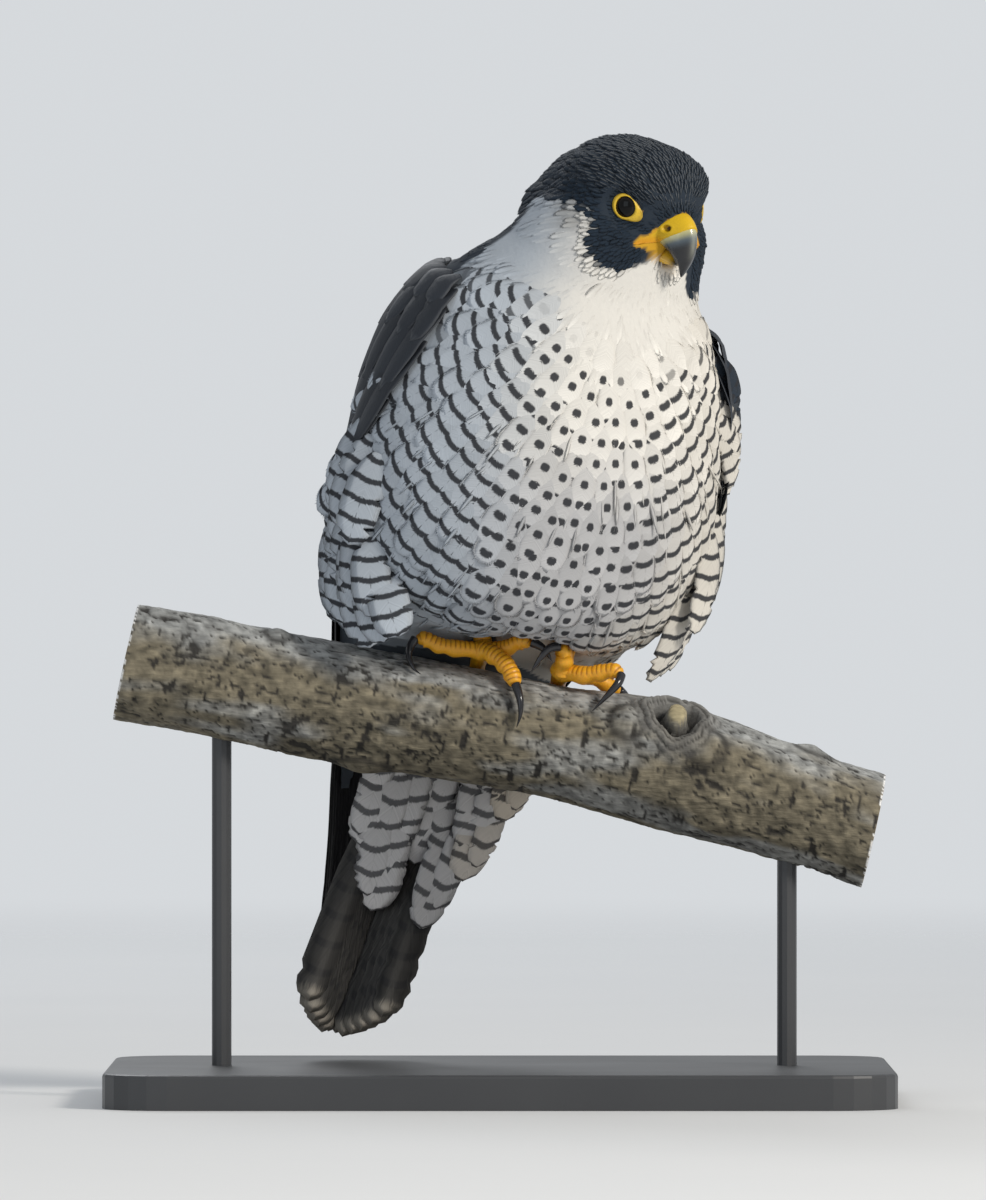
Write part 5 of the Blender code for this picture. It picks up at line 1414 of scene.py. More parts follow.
def tuck_skin_under(trees, room=0.0015, furthest=0.012):
    """Draws the skin towards the middle of the trunk wherever it would come through the wing feathers."""
    co = coordinates(skin.data)
    phi, up = trunk_angles(co)
    for i in np.nonzero((np.abs(phi) > 62) & (up < 192) & (up > -20))[0]:
        middle = STANCE @ trunk_middle(up[i])
        ray = Vector(co[i]) - middle
        reach = ray.length
        for tree in trees:
            hit = tree.ray_cast(middle, ray, reach + room)
            if hit[0] is not None:
                reach = min(reach, max(hit[3] - room, ray.length - furthest))
        co[i] = middle + ray.normalized() * reach
    set_coordinates(skin.data, co)


wing_trees = []
for label, side in BOTH_SIDES:
    wing = feather_piece("wing_feathers_" + label, wing_feathers(side), wing_finish)
    wing_trees.append(tree_over(wing.data))
tuck_skin_under(wing_trees)

# %% [markdown]
# ## The mantle and rump
#
# Between the folded wings the back is slate like the wings, each feather with a thin paler rim. Down towards the tail
# it turns blue-grey with dark bars.

# %% Mantle
def uncovered(spots):
    """Whether no wing feather lies near or over each spot of the skin."""
    free = []
    for spot, normal in zip(spots, normals_at(spots)):
        start, ray = Vector(spot) - Vector(normal) * 0.004, Vector(normal)
        free.append(all(tree.ray_cast(start, ray, 0.026)[0] is None
                        and tree.find_nearest(Vector(spot), 0.0045)[0] is None for tree in wing_trees))
    return np.array(free)


spots = skin_samples(60000, 14)
phi, up = trunk_angles(spots)
head_place = into(HEAD, spots)
behind = (np.abs(phi) > 158) | ((np.abs(phi) > 84) & (up > 180))
facing = turned(STANCE.inverted(), normals_at(spots))[:, 1] > np.where(up < 150, 0.35, -1)
slate = darkness(spots)[0] > 0.5
spots = spots[behind & facing & (up > -50) & (head_place[:, 2] < NECK_LINE + 2) & slate]
spots = spots[thinned(spots, 0.0044)]
spots = spots[uncovered(spots)]
phi, up = trunk_angles(spots)
lengths = 15.0 + 3 * smooth(-up, -150, -60)
mantle = feather_points(spots, lengths, np.full(len(spots), 9.5), 3.0, 25, trunk_uv, marked=True)
plant("mantle_plumage", mantle, breast_feathers, mantle_finish, 0.05, 8)

# %% [markdown]
# ## The tail and its coverts
#
# Twelve tail feathers lie in a narrow fan, the middle pair uppermost on the back. The long soft undertail coverts
# over their roots are white, each with four or five dark chevrons.

# %% Tail
# Middle of the fan in millimetres in the stance frame, and half its width there
TAIL_ROOT = ((1.2, 56, -40), 14.0)
TAIL_TIP = ((-4.5, 91.5, -184), 18.5)
# From the outermost feather to the middle pair
TAIL_LENGTHS = (0.90, 0.94, 0.965, 0.985, 1.0, 0.995)


def tail_feathers():
    """Twelve feathers side by side, each a little before the one nearer the middle."""
    root, tip = np.array(TAIL_ROOT[0]), np.array(TAIL_TIP[0])
    front = unit(np.cross((1, 0, 0), unit(tip - root)))
    front = front if front[1] < 0 else -front
    rng = np.random.default_rng(51)
    made = []
    for j in range(12):
        level = abs(j - 5.5) + (0.25 if j > 5 else -0.25)
        place = (j - 5.5) / 5.5
        length = TAIL_LENGTHS[5 - round(abs(j - 5.5) - 0.5)]
        start = root + (TAIL_ROOT[1] * place, 0, 0) + front * level * 1.15
        end = root + (tip - root) * length + (TAIL_TIP[1] * place, 0, 0) + front * level * 1.15
        k = np.linspace(0, 1, 34)[:, None]
        centres = between(start, end, k)
        left, right = (1.1, 0.8) if place > 0 else (0.8, 1.1)
        feather = stiff_feather(centres / 1000, np.tile(-front, (len(k), 1)), 9.4 / 1000, left=left, right=right,
                                seed=int(rng.integers(1e6)), outline=tail_outline, camber=0.01)
        tone = np.array((0.066, 0.064, 0.062)) * rng.uniform(0.7, 1.25)
        made.append((feather, tone, (0.4, 1.6, 0), (0.55, 0.35, 0), (rng.uniform(0, 0.3), 9.5, rng.random()),
                     (0.06 + 0.08 * j, 0.5)))
    return made


tail_finish = plumage("tail_plumage", 0.6, 0.2, pale=(0.17, 0.165, 0.155), tip=0.8, Specular_IOR_Level=0.2)
tail = feather_piece("tail_feathers", tail_feathers(), tail_finish)
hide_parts("tail")

# %% Undertail coverts
# Roots and tips in millimetres, half width; the last are the foremost
UNDERTAIL_FEATHERS = (
    ((-17, 50, -66), (-5.5, 70, -124.5), 12.5), ((20, 50, -66), (19.5, 68.5, -127.5), 11.0),
    ((30, 46, -58), (31, 58, -101), 11.0), ((-22, 46, -50), (-21, 60, -96), 10.5), ((8, 48, -58), (7, 62, -98), 9.0),
    ((22, 38, -42), (29, 52, -86), 12.0), ((34, 36, -34), (41, 45, -70), 11.0), ((-14, 42, -44), (-8, 62, -100), 11.5),
    ((2, 42, -40), (3, 56, -84), 10.5), ((-24, 40, -34), (-22, 52, -72), 10.5), ((26, 34, -28), (33, 42, -60), 11.0),
)


def undertail_feathers():
    """Each feather of the table with two slighter ones beside and over it."""
    rng = np.random.default_rng(61)
    made = []
    for r, (start, end, half) in enumerate(UNDERTAIL_FEATHERS):
        for shift, shorter, width, deeper in ((0.0, 1.0, 1.0, 0.0), (-4.5, 0.90, 0.72, 0.9), (4.5, 0.84, 0.72, 1.4)):
            k = np.linspace(0, 1, 26)[:, None]
            a = np.array(start) + (shift, -deeper, 0)
            b = np.array(end) + (shift * 0.7, -deeper, 0)
            b = a + (b - a) * shorter + rng.normal(0, 0.5, 3) * (1, 0, 1)
            centres = between(a, b, k) + np.array((0, -1, 0)) * (3.0 + 0.35 * r) * np.sin(np.pi * k)
            outs = unit(np.array((0.22 * (start[0] - 4) / 20, -1, -0.2)))
            feather = stiff_feather(centres / 1000, np.tile(outs, (len(k), 1)), half * width / 1000, camber=0.14,
                                    roll=rng.uniform(-4, 4), seed=int(rng.integers(1e6)), notches=0.22)
            # The coverts are white; their grey is painted shade, and the warmer tone towards the bird's left is
            # painted warm light
            tone = mixed((0.53, 0.52, 0.52), (0.66, 0.56, 0.42), smooth(start[0], 20, 44))
            reach = float(np.linalg.norm(b - a)) / 12.5
            made.append((feather, tone * rng.uniform(1.06, 1.18), (0.85, 1.6, 0.2), (0, 0, 0),
                         (0.42 - (reach % 1.0), reach, rng.random()), (0.08 + 0.08 * r, 0.3 + 0.004 * shift)))
    return made


undertail = feather_piece("undertail_plumage", undertail_feathers(), soft_plumage)
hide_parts("undertail_coverts")

# %% [markdown]
# ## Long feathers of the flanks
#
# At both sides longer, barred feathers hang over the edge of the wing and the thigh. They are drawn one by one from
# a table, with one more between each two neighbours.

# %% Flank feathers
# Side, height and angle of the root on the trunk, tip in millimetres, half width
FLANK_FEATHERS = (
    (1, (112, 84), (97, 2, 68), 9), (1, (100, 84), (99, -1, 52.5), 10), (1, (90, 66), (86, -24, 34), 11),
    (1, (80, 92), (91, 16, 33), 11), (1, (66, 80), (88, 2, 15), 11), (1, (62, 60), (76, -8, 8), 11),
    (-1, (100, 86), (89, 8, 54), 10), (-1, (90, 72), (85, -14, 40), 12),
    (-1, (74, 88), (78, 22, 28), 11), (-1, (64, 76), (75, 6, 17), 11), (-1, (58, 66), (67, -20, 10), 11),
    (-1, (54, 86), (71, 8, 4), 11), (-1, (50, 98), (70, 26, 4), 11), (-1, (46, 56), (58, -32, 4), 11),
    (-1, (42, 74), (62, -8, -4), 11), (-1, (52, 108), (66, 40, 6), 11),
)


def flank_feathers(side):
    """The table's feathers of one side, those along the edge of the wing above them, and one between each two."""
    rng = np.random.default_rng(71)
    drawn = [(*root, *tip, half) for place, root, tip, half in FLANK_FEATHERS if place == side]
    added = [tuple((p + q) / 2 for p, q in zip(a, b)) for a, b in zip(drawn, drawn[1:])]
    for height in np.arange(164 if side > 0 else 106, 106, -6.0):
        lead = curve(CLOAK_EDGE, height) + rng.uniform(-3, 3)
        tip = trunk_point((height - 26) / 1000, lead + (7 if side > 0 else 5), 0.0054, 1) * 1000
        drawn.append((height, lead - 7, *tip, 8.0))
    made = []
    for height, angle, x, y, z, half in drawn + added:
        start = trunk_point(height / 1000, angle, -0.0015, side)
        end = np.array((x, y, z)) / 1000
        k = np.linspace(0, 1, 22)[:, None]
        centres = between(start, end, k) + np.array((0.7, -0.7, 0)) * 0.003 * np.sin(math.pi * k)
        centres = centres * (side, 1, 1)
        outs = unit(centres * (0.6, 1, 0) + (0, -0.045, 0))
        feather = stiff_feather(centres, outs, half * rng.uniform(0.82, 0.95) / 1000, roll=3 * side, camber=0.12,
                                seed=int(rng.integers(1e6)), notches=0.3)
        reach = float(np.linalg.norm(end - start)) * 1000 / BAR_PITCH
        spot = out_of(STANCE, [centres[12] * 1000])
        tone = markings(spot)[0][0] * rng.uniform(0.95, 1.04)
        made.append((feather, tone, (1, 1.6, 0.8), (0, 0, 0), (rng.uniform(0, 0.4), reach, rng.random()),
                     (0.5 + 0.4 * angle / 110 * side, 0.2 + 0.6 * height / 110)))
    return made


for label, side in BOTH_SIDES:
    feather_piece("flank_feathers_" + label, flank_feathers(side), soft_plumage)


# %% [markdown]
# ## Eyes, lids and bill
#
# A falcon's eye is almost black and fills its lids. Bare yellow skin rings it and runs out to a point towards the
# bill. Yellow skin, the cere, also covers the root of the bill, with a round nostril on each side, and the horn
# beyond it goes from pale green-grey to black at the hooked tip.

# %% Small lofts
def loft_piece(name, grids, finish, replaced, ends=True):
    """Grids of rings in world metres as one mesh of closed tubes; each grid comes with the tones of its points."""
    verts, tones, faces = [], [], []
    for rings, tone in grids:
        faces += ring_faces(*rings.shape[:2], start=sum(len(points) for points in verts), ends=ends)
        verts.append(rings.reshape(-1, 3))
        tones.append(np.broadcast_to(tone, rings.shape).reshape(-1, 3))
    mesh = bpy.data.meshes.new(name)
    mesh.from_pydata(np.concatenate(verts).tolist(), [], faces)
    paint(mesh, np.concatenate(tones))
    return finished_piece(name, mesh, finish, replaced)


def toned_material(name, roughness, scale=900.0, depth=0.0, spread=0.12, stretch=1.0, **sockets):
    """A material with the piece's own colours, gently mottled, and a fine relief, which may be drawn out along X."""
    finish, tree, shader = new_material(name, roughness, **sockets)
    where = vector_maths(tree, "MULTIPLY", object_place(tree), (1 / stretch, 1, 1))
    mottle = noise_at(tree, where, scale, 4.0)
    level = maths(tree, "MULTIPLY_ADD", maths(tree, "SUBTRACT", mottle, 0.5), spread * 2, 1.0)
    colour = blend_colours(tree, 1.0, attribute(tree, "tone", "Color"), grey_level(tree, level), "MULTIPLY")
    tree.links.new(colour, shader.inputs["Base Color"])
    if depth:
        tree.links.new(relief(tree, 0.6, depth, mottle), shader.inputs["Normal"])
    return finish


# %% Eyes and lids
def eye_ball(side, label):
    """A wet ball with a very dark brown iris around a darker pupil."""
    eye = eye_frame(side)
    turns = np.linspace(0, math.tau, 48, endpoint=False)
    rings, tones = [], []
    for i in range(41):
        tilt = math.pi * i / 40
        radius = max(0.02, EYE_BALL * math.sin(tilt))
        depth = EYE_FORWARD + EYE_BALL * math.cos(tilt)
        rings.append([by_eye(eye, turn, radius, depth) for turn in turns])
        pupil = smooth(np.array(radius), 3.1, 3.7) if tilt < 1.2 else 1.0
        tones.append([np.array((0.009, 0.0055, 0.004)) * pupil + 0.0008])
    grid = (out_of(HEAD, rings), np.array(tones))
    return loft_piece("eye_ball_" + label, [grid], eye_finish, ("eye_" + label,))


# Share of the way from the opening to the outer rim, and height over the eye's centre
LID_PROFILE = ((0.0, 6.2), (0.0, 7.2), (0.06, 7.75), (0.22, 8.05), (0.45, 8.0), (0.7, 7.7), (0.9, 7.3), (1.0, 6.8),
               (1.02, 5.2))


def eye_lid(side, label):
    """The bare ring around an eye, thick at the opening and lying on the skin at its outer rim."""
    eye = eye_frame(side)
    turns = np.linspace(0, math.tau, 72, endpoint=False)
    rings, tones = [], []
    for share, height in LID_PROFILE:
        ring = []
        for turn in turns:
            reach = EYE_OPENING + (ring_reach(turn) - EYE_OPENING) * share
            top = height - max(0.0, reach - 6.6) * 0.55 * share
            if 0.2 < share <= 1.0:
                length = ray_length(skin_tree, by_eye(eye, turn, reach, 16), -eye[1], 20)
                if length is not None:
                    top = max(top, 16 - length + 0.55 - 0.3 * (share > 0.95))
            ring.append(by_eye(eye, turn, reach, top))
        rings.append(ring)
        tones.append([np.array((0.80, 0.52, 0.035)) * (1 - 0.45 * (abs(share - 0.35) / 0.65) ** 2)])
    tones[0] = tones[1] = [np.array((0.10, 0.06, 0.01))]
    grid = (out_of(HEAD, rings), np.array(tones))
    return loft_piece("eye_lid_" + label, [grid], lid_finish, ("eyelid_" + label,), ends=False)


eye_finish = toned_material("wet_eye", 0.05, IOR=1.34, Specular_IOR_Level=0.45)
lid_finish = toned_material("lid_skin", 0.42, 1600.0, 0.0002)
for label, side in BOTH_SIDES:
    eye_ball(side, label)
    eye_lid(side, label)

# %% Bill
# Sections in millimetres in the head's frame: top forward and up, bottom forward and up, half width
BILL_UPPER = (
    (20, 7, 18, -10, 11.5), (26.0, 6.2, 21.5, -10.8, 11.2), (31.0, 5.0, 25.5, -11.8, 10.1),
    (35.0, 3.8, 29, -13, 8.8), (38.6, 1.4, 32.2, -14.6, 7.5), (41.2, -2.6, 34.6, -16, 6.2),
    (42.6, -7.6, 36.4, -17, 4.9), (42.5, -13.0, 37.6, -18.0, 3.7), (41.4, -17.4, 38.3, -19.6, 2.5),
    (40.2, -20.6, 38.8, -21.6, 1.4), (39.2, -22.7, 38.9, -22.8, 0.4),
)
BILL_LOWER = (
    (14, -11, 12, -19, 9.5), (20, -11.4, 18, -20, 9.0), (26, -12.4, 24, -20.4, 7.6),
    (31, -14, 29.5, -20, 5.8), (34.6, -16, 33.2, -19.2, 3.8), (36.6, -17.4, 36, -18.4, 1.6),
)
# A place on the cere's edge, forward and up, and the direction across the edge towards the bill's tip
CERE_EDGE = ((38.5, 1.5), (0.69, -0.72))
NOSTRIL = np.array((8.6, -31.0, -2.2))


def bill_rings(rows, steps, sides, swell=0.0, tooth=0.0):
    """Fine oval sections through the bill's table, in millimetres in the head's frame."""
    rows = spline(np.array(rows, float), np.linspace(0, len(rows) - 1, steps))
    turns = np.linspace(0, math.tau, sides, endpoint=False)
    t = (1 - np.cos(turns)) / 2
    wide = np.sin(turns) * (0.62 + 0.52 * t) / (0.62 + 0.52 * 0.62)
    rings = np.empty((steps, sides, 3))
    for i, (top_f, top_h, low_f, low_h, half) in enumerate(rows):
        f = top_f + (low_f - top_f) * t
        h = top_h + (low_h - top_h) * t
        h = h - tooth * np.exp(-((low_f - 36.2) / 0.9) ** 2) * smooth(t, 0.80, 0.97)
        rings[i] = np.stack([wide * (half + swell), -f, h], 1)
        middle = rings[i].mean(0)
        rings[i, :, 1:] += (rings[i, :, 1:] - middle[1:]) / max(2.0, abs(top_h - low_h) / 2) * swell
    return rings


def beyond_cere(points):
    """Distance in millimetres past the cere's edge, negative on the cere."""
    (f0, h0), (nf, nh) = CERE_EDGE
    bow = 0.010 * (points[..., 2] + 5) ** 2
    return (-points[..., 1] - f0) * nf + (points[..., 2] - h0) * nh + bow - 0.8


def sunk(rings):
    """The bill's sections with all that lies behind the brow's line drawn in under the feathers."""
    share = 0.34 * smooth(-past_brow(rings), 0.0, 4.0)[..., None]
    return rings + (rings.mean(1, keepdims=True) - rings) * share


def pitted(rings, depth=1.9):
    """The same sections with a round nostril pressed into each side."""
    for side in (1, -1):
        inward = np.array((side, -0.4, 0.1))
        away = np.linalg.norm((rings - NOSTRIL * (side, 1, 1)) / (3.5, 1.35, 1.10), axis=-1)
        rings = rings - inward * depth * smooth(-away, -1.6, -0.9)[..., None]
        rings = rings + inward * 0.28 * np.exp(-((away - 1.95) / 0.5) ** 2)[..., None]
    return rings


def horn_tones(points, past):
    """Pale green-grey at the cere, then blue-grey, then black at the tip, and a painted highlight along the ridge on
    top.
    """
    pale, grey, black = (0.50, 0.47, 0.22), (0.085, 0.112, 0.135), (0.005, 0.006, 0.009)
    low = smooth(-points[..., 2], 2, 16)
    a = smooth(past, 0.2, 5.0 - 2.0 * low)[..., None]
    b = smooth(past + 2.0 * low, 3.2, 9.0)[..., None]
    # A painted highlight along the ridge of the upper bill
    ridge = np.exp(-(points[..., 0] / 1.5) ** 2)[..., None] * smooth(-past, -15, -8)[..., None]
    return mixed(mixed(mixed(pale, grey, a), black, b), (0.42, 0.43, 0.36), 0.4 * ridge)


def bill_piece(name, rings, tones, finish, replaced):
    """A piece of the bill from rings in millimetres in the head's frame."""
    return loft_piece(name, [(out_of(HEAD, rings), tones)], finish, (replaced,))


horn_finish = toned_material("bill_horn", 0.22, 260.0, 0.00008, 0.16, Coat_Weight=0.5, Coat_Roughness=0.12)
cere_finish = toned_material("cere_skin", 0.42, 1500.0, 0.00018, 0.14, Specular_IOR_Level=0.28)

rings = pitted(sunk(bill_rings(BILL_UPPER, 64, 56, 0.0, 1.1)), 2.6)
bill_piece("bill_horn_upper", rings, horn_tones(rings, beyond_cere(rings)), horn_finish, "bill_upper")
rings = bill_rings(BILL_LOWER, 36, 40)
tones = horn_tones(rings, np.clip((-rings[..., 1] - 24) * 0.8, 0, 20))
yellow = smooth(rings[..., 1], -36, -32)[..., None]
tones = mixed(tones, (0.72, 0.42, 0.03), yellow)
bill_piece("bill_horn_lower", rings, tones, horn_finish, "bill_lower")


def over_gape(rings):
    """Brings the cere's low back corners out over the cheek, where the mouth ends under the eye."""
    rings = rings.copy()
    past = past_brow(rings)
    share = smooth(-rings[..., 2], 1.0, 4.0) * smooth(rings[..., 2], -14.5, -12.5)
    for index in zip(*np.nonzero((share > 0) & (past > -1.5) & (-rings[..., 1] < 33))):
        spot = rings[index]
        side = 1 if spot[0] > 0 else -1
        length = ray_length(skin_tree, (side * 24, *spot[1:]), (-side, 0, 0), 24)
        if length is not None:
            reach = 24 - length - 0.5 + 0.95 * float(smooth(past[index], -0.5, 1.2))
            if reach > abs(spot[0]):
                rings[index][0] = side * (abs(spot[0]) + (reach - abs(spot[0])) * share[index])
    return rings


def cere_rings():
    """The swollen yellow skin over the bill's root, column by column up to its edge, with a rolled lip."""
    last = 199
    fine = bill_rings(BILL_UPPER, last + 1, 96, 0.55)
    inner = bill_rings(BILL_UPPER, last + 1, 96, -0.6)
    shares = np.linspace(0, 1, 40) ** 0.8
    columns = []
    for k in range(96):
        stop = int(np.argmax(beyond_cere(fine[:, k]) > 0)) or last
        column = [fine[int(round(share * stop)), k] for share in shares]
        edge, under = fine[min(last, stop + 2), k], inner[min(last, stop + 3), k]
        columns.append(np.array(column + [mixed(under, edge, w) for w in (0.75, 0.4, 0.0)]))
    return over_gape(pitted(sunk(np.array(columns).transpose(1, 0, 2))))


rings = cere_rings()
near = np.min([np.linalg.norm((rings - NOSTRIL * (side, 1, 1)) * (0.3, 0.9, 1.05), axis=-1) for side in (1, -1)],
              axis=0)
hole = smooth(-near, -1.7, -1.0)[..., None]
gape = smooth(-rings[..., 2], 5, 11)[..., None]
# Painted light: the cere is a little lighter on top
top = smooth(rings[..., 2], -4, 4)[..., None]
tones = mixed((0.66, 0.42, 0.014), (0.66, 0.29, 0.010), gape) * (0.9 + 0.1 * top)
tones = mixed(tones, (0.045, 0.012, 0.008), hole)
bill_piece("cere_skin", rings, tones, cere_finish, "cere")

# %% [markdown]
# ## Feet and claws
#
# The toes are swollen under each joint and ringed above by broad scales. They are drawn as fine tubes through the
# same joints as the solids, with the pads and the grooves between the scales pressed into them. The claws are
# smooth, black and polished.

# %% Toes
# In millimetres in the world: centre line, radii, then the claw's centre line
TOES = {
    "right": (
        ("outer", ((-9, -8, 207), (-21, -11, 208.2), (-28, -12.5, 209.5), (-34.5, -13, 212.2), (-38.2, -13, 211.2)),
         (4.3, 3.9, 3.7, 3.8, 3.3),
         ((-38.8, -13.6, 212.2), (-41.2, -15.2, 208.2), (-41.6, -17.2, 203.4), (-39.6, -19.8, 198.7),
          (-36.3, -21, 196))),
        ("middle", ((-8, -9, 207), (-2.6, -13, 204.8), (2.6, -17, 200.4), (5.7, -20, 195.4), (7.0, -22.2, 190.6)),
         (4.6, 4.3, 4.2, 3.9, 3.4),
         ((7.2, -23.6, 191.2), (9.2, -27.2, 184.5), (9.3, -28.3, 177.5), (7.6, -27.8, 171.6))),
        ("inner", ((-6, -6, 207), (3.0, -9, 208.2), (9.7, -12, 211.2), (14.2, -14, 209.8)),
         (4.3, 3.9, 3.8, 3.3),
         ((14.8, -14.6, 210.6), (19.2, -15.8, 208.2), (22.0, -16.6, 205.0), (23.9, -17.2, 201.6))),
        ("rear", ((-8, -4, 206.5), (-9.5, 7, 203.5), (-11, 17.5, 195.5), (-11.5, 23.5, 187.5)),
         (4.2, 3.8, 3.7, 3.2),
         ((-11.5, 24.6, 188.5), (-11.5, 29.4, 181.5), (-11, 30.2, 174), (-10.5, 28.6, 167.5))),
    ),
    "left": (
        ("inner", ((28.5, -8, 197.5), (29.5, -12.5, 202.5), (29.2, -15.6, 206.6), (26.6, -17.6, 207.8)),
         (4.5, 4.1, 3.8, 3.3),
         ((27.0, -18.6, 208.6), (22.6, -21, 207.6), (18.6, -22.0, 203.4), (13.8, -22.0, 196.4))),
        ("middle", ((30, -7, 197.2), (38.5, -12, 195.8), (46.0, -14.5, 196.8), (52.2, -16.5, 197.6),
                    (55.6, -18, 195.2)),
         (4.5, 4.2, 4.0, 3.8, 3.3),
         ((55.6, -19.2, 195.6), (54.0, -22.6, 191.6), (49.1, -25, 186.2), (42.3, -24.6, 179.1))),
        ("outer", ((30, -4, 197), (40, 3, 195.4), (49, 8, 191.6), (54.5, 12, 187.4)),
         (4.2, 3.9, 3.7, 3.2),
         ((55, 12.6, 188.4), (58.4, 17, 184.6), (58.6, 22, 179.4), (57.6, 25.4, 173.6))),
        ("rear", ((29, -4, 197), (27.5, 7, 194.8), (26, 17.5, 187.2), (25.5, 23.5, 179.4)),
         (4.2, 3.8, 3.7, 3.2),
         ((25.5, 24.6, 180.4), (25.5, 29.4, 173.2), (26, 30.2, 166), (26.5, 28.6, 159.5))),
    ),
}
# The middle of each foot, and the place where its leg goes up into the feathers
TARSI = {"right": ((-7.5, -6, 207.5), (-10.5, 3, 232)), "left": ((29, -6, 198.4), (33, 3, 222))}
SCALE_PITCH = 2.3
# Along the perch, height of its centre line, and radius
PERCH_STATIONS = (
    (-172, 202.0, 27.0), (-147, 197.2, 27.2), (-81, 184.6, 27.2), (-5, 170.6, 26.2), (30, 163.8, 26.2),
    (66, 156.2, 29.0), (101, 146.2, 29.0), (147, 132.5, 26.2), (172, 124.8, 26.2),
)


def perch_line(x):
    """Height and radius of the perch's centre line at places along it, in millimetres."""
    rows = np.array(PERCH_STATIONS)
    fine = spline(rows, np.linspace(0, len(rows) - 1, 200))
    return np.interp(x, fine[:, 0], fine[:, 1]), np.interp(x, fine[:, 0], fine[:, 2])


def path_frames(points, count):
    """Evenly spaced points on a curve, axes out from the perch and across, and how far along each point is."""
    coarse = spline(np.array(points, float), np.linspace(0, len(points) - 1, 400))
    steps = np.concatenate(([0], np.cumsum(np.linalg.norm(np.diff(coarse, axis=0), axis=1))))
    run = np.linspace(0, steps[-1], count)
    centres = np.stack([np.interp(run, steps, coarse[:, k]) for k in range(3)], 1)
    joints = np.interp(run, steps, np.linspace(0, len(points) - 1, 400))
    along = unit(np.gradient(centres, axis=0))
    axis = np.stack([centres[:, 0], np.zeros(count), perch_line(centres[:, 0])[0]], 1)
    out = centres - axis
    out = unit(out - along * (out * along).sum(1, keepdims=True))
    return centres, out, np.cross(along, out), run, joints


def tube(centres, out, across, radius, turns, tall, wide):
    """Rings around a centre line, made taller or wider than round."""
    return (centres[:, None] + out[:, None] * (np.cos(turns)[None, :, None] * radius[..., None] * tall)
            + across[:, None] * (np.sin(turns)[None, :, None] * radius[..., None] * wide))


def toe_rings(points, radii):
    """Rings of one toe with their tones: pads below, broad scales with grooves above, and painted shade in the grooves
    and under the pads.
    """
    count = 2 + int(np.linalg.norm(np.diff(np.array(points, float), axis=0), axis=1).sum() / 0.42)
    centres, out, across, run, joints = path_frames(points, count)
    base = spline(np.array(radii, float)[:, None], joints)[:, 0]
    swell = 0.5 + 0.5 * np.cos(math.tau * joints)
    ends = np.clip((run[-1] - run) / (base * 0.9), 0, 1)
    base = base * np.sqrt(1 - (1 - ends) ** 2 * 0.93)
    turns = np.linspace(0, math.tau, 28, endpoint=False)
    up, low = np.maximum(0, np.cos(turns)), np.maximum(0, -np.cos(turns))
    groove = np.exp(-((np.mod(run, SCALE_PITCH) / SCALE_PITCH - 0.5) / 0.13) ** 2)[:, None] * smooth(up, 0.05, 0.5)
    pad = np.outer(swell, low)
    side_grain = np.abs(np.sin(run[:, None] * 3.1 + np.sin(turns * 5)) * np.sin(turns * 9)) * (1 - up) * 0.10
    radius = base[:, None] * (0.95 + 0.07 * swell[:, None] + 0.20 * pad) - 0.42 * groove + side_grain
    # Painted shade darkens the grooves between the scales and the pads underneath
    tone = np.array((0.80, 0.36, 0.014)) * (1 - 0.60 * groove - 0.10 * pad)[..., None]
    tone = tone * (1 - 0.25 * groove[..., None] * np.array((0, 0.6, 0.5)))
    return tube(centres, out, across, radius, turns, 0.94, 1.0), tone


def ball_rings(centre, size, rows=18, sides=24):
    """Rings of an egg-shaped ball that stop just short of its poles."""
    tilt = math.pi * (np.arange(rows)[:, None] + 0.02) / (rows - 0.96)
    turns = np.linspace(0, math.tau, sides, endpoint=False)
    around = [np.sin(tilt) * np.cos(turns), np.sin(tilt) * np.sin(turns), np.cos(tilt) + 0 * turns]
    return np.stack(around, -1) * size + centre


def claw_rings(points):
    """Rings of one claw with their tones, flatter below and narrowing to the tip."""
    centres, out, across, run, _ = path_frames(points, 46)
    share = run / run[-1]
    radius = 2.3 * (1 - 0.94 * share ** 1.5)
    turns = np.linspace(0, math.tau, 22, endpoint=False)
    radius = radius[:, None] * (1 - 0.12 * np.maximum(0, -np.cos(turns)) ** 2)
    tone = np.array((0.013, 0.013, 0.015)) * (1 + 0.8 * (1 - share[:, None, None]))
    return tube(centres, out, across, radius, turns, 1.08, 0.92), tone


def toe_piece(name, grids, finish, replaced):
    """A piece from grids in millimetres in the world."""
    return loft_piece(name, [(rings / 1000, tone) for rings, tone in grids], finish, (replaced,))


foot_finish = toned_material("scaled_skin", 0.42, 1300.0, 0.00022, 0.20, Subsurface_Weight=0.10)
claw_finish = toned_material("claw_horn", 0.16, 500.0, 0.00003, 0.2)
for side, toes in TOES.items():
    ball, ankle = (np.array(p, float) for p in TARSI[side])
    grids = [(ball_rings(ball + (0, -0.5, -0.6), (6.0, 6.4, 4.9)), np.array((0.76, 0.36, 0.016)))]
    grids.append(toe_rings((ball, ball + (ankle - ball) * 0.5, ankle), (4.4, 4.3, 5.2)))
    for name, toe, radii, claw in toes:
        grids.append(toe_rings(toe, radii))
        toe_piece(f"claw_horn_{side}_{name}", [claw_rings(claw)], claw_finish, f"claw_{side}_{name}")
    toe_piece(f"foot_skin_{side}", grids, foot_finish, f"foot_{side}")

# %% [markdown]
# ## The branch
#
# The perch is a length of old branch with thin, weathered bark: grey on top, ochre below, with fine cracks along
# the grain, dark scars, and one knot whose dead stub stands in a hollow. Its ends are sawn and show the year rings.

# %% Branch
PERCH_SLOPE = math.radians(12.4)
# Place along the branch in metres, angle around it in degrees, length, width and height in millimetres
PERCH_LUMPS = ((0.055, 55, 7.5, 8.5, 3.9), (0.091, 62, 9, 8, 3.9), (-0.058, 165, 13, 7, 3.9),
               (0.138, 12, 8, 5, 3.9), (-0.107, 25, 6, 5, 2.9))
KNOT_PLACE = (0.076, 38)
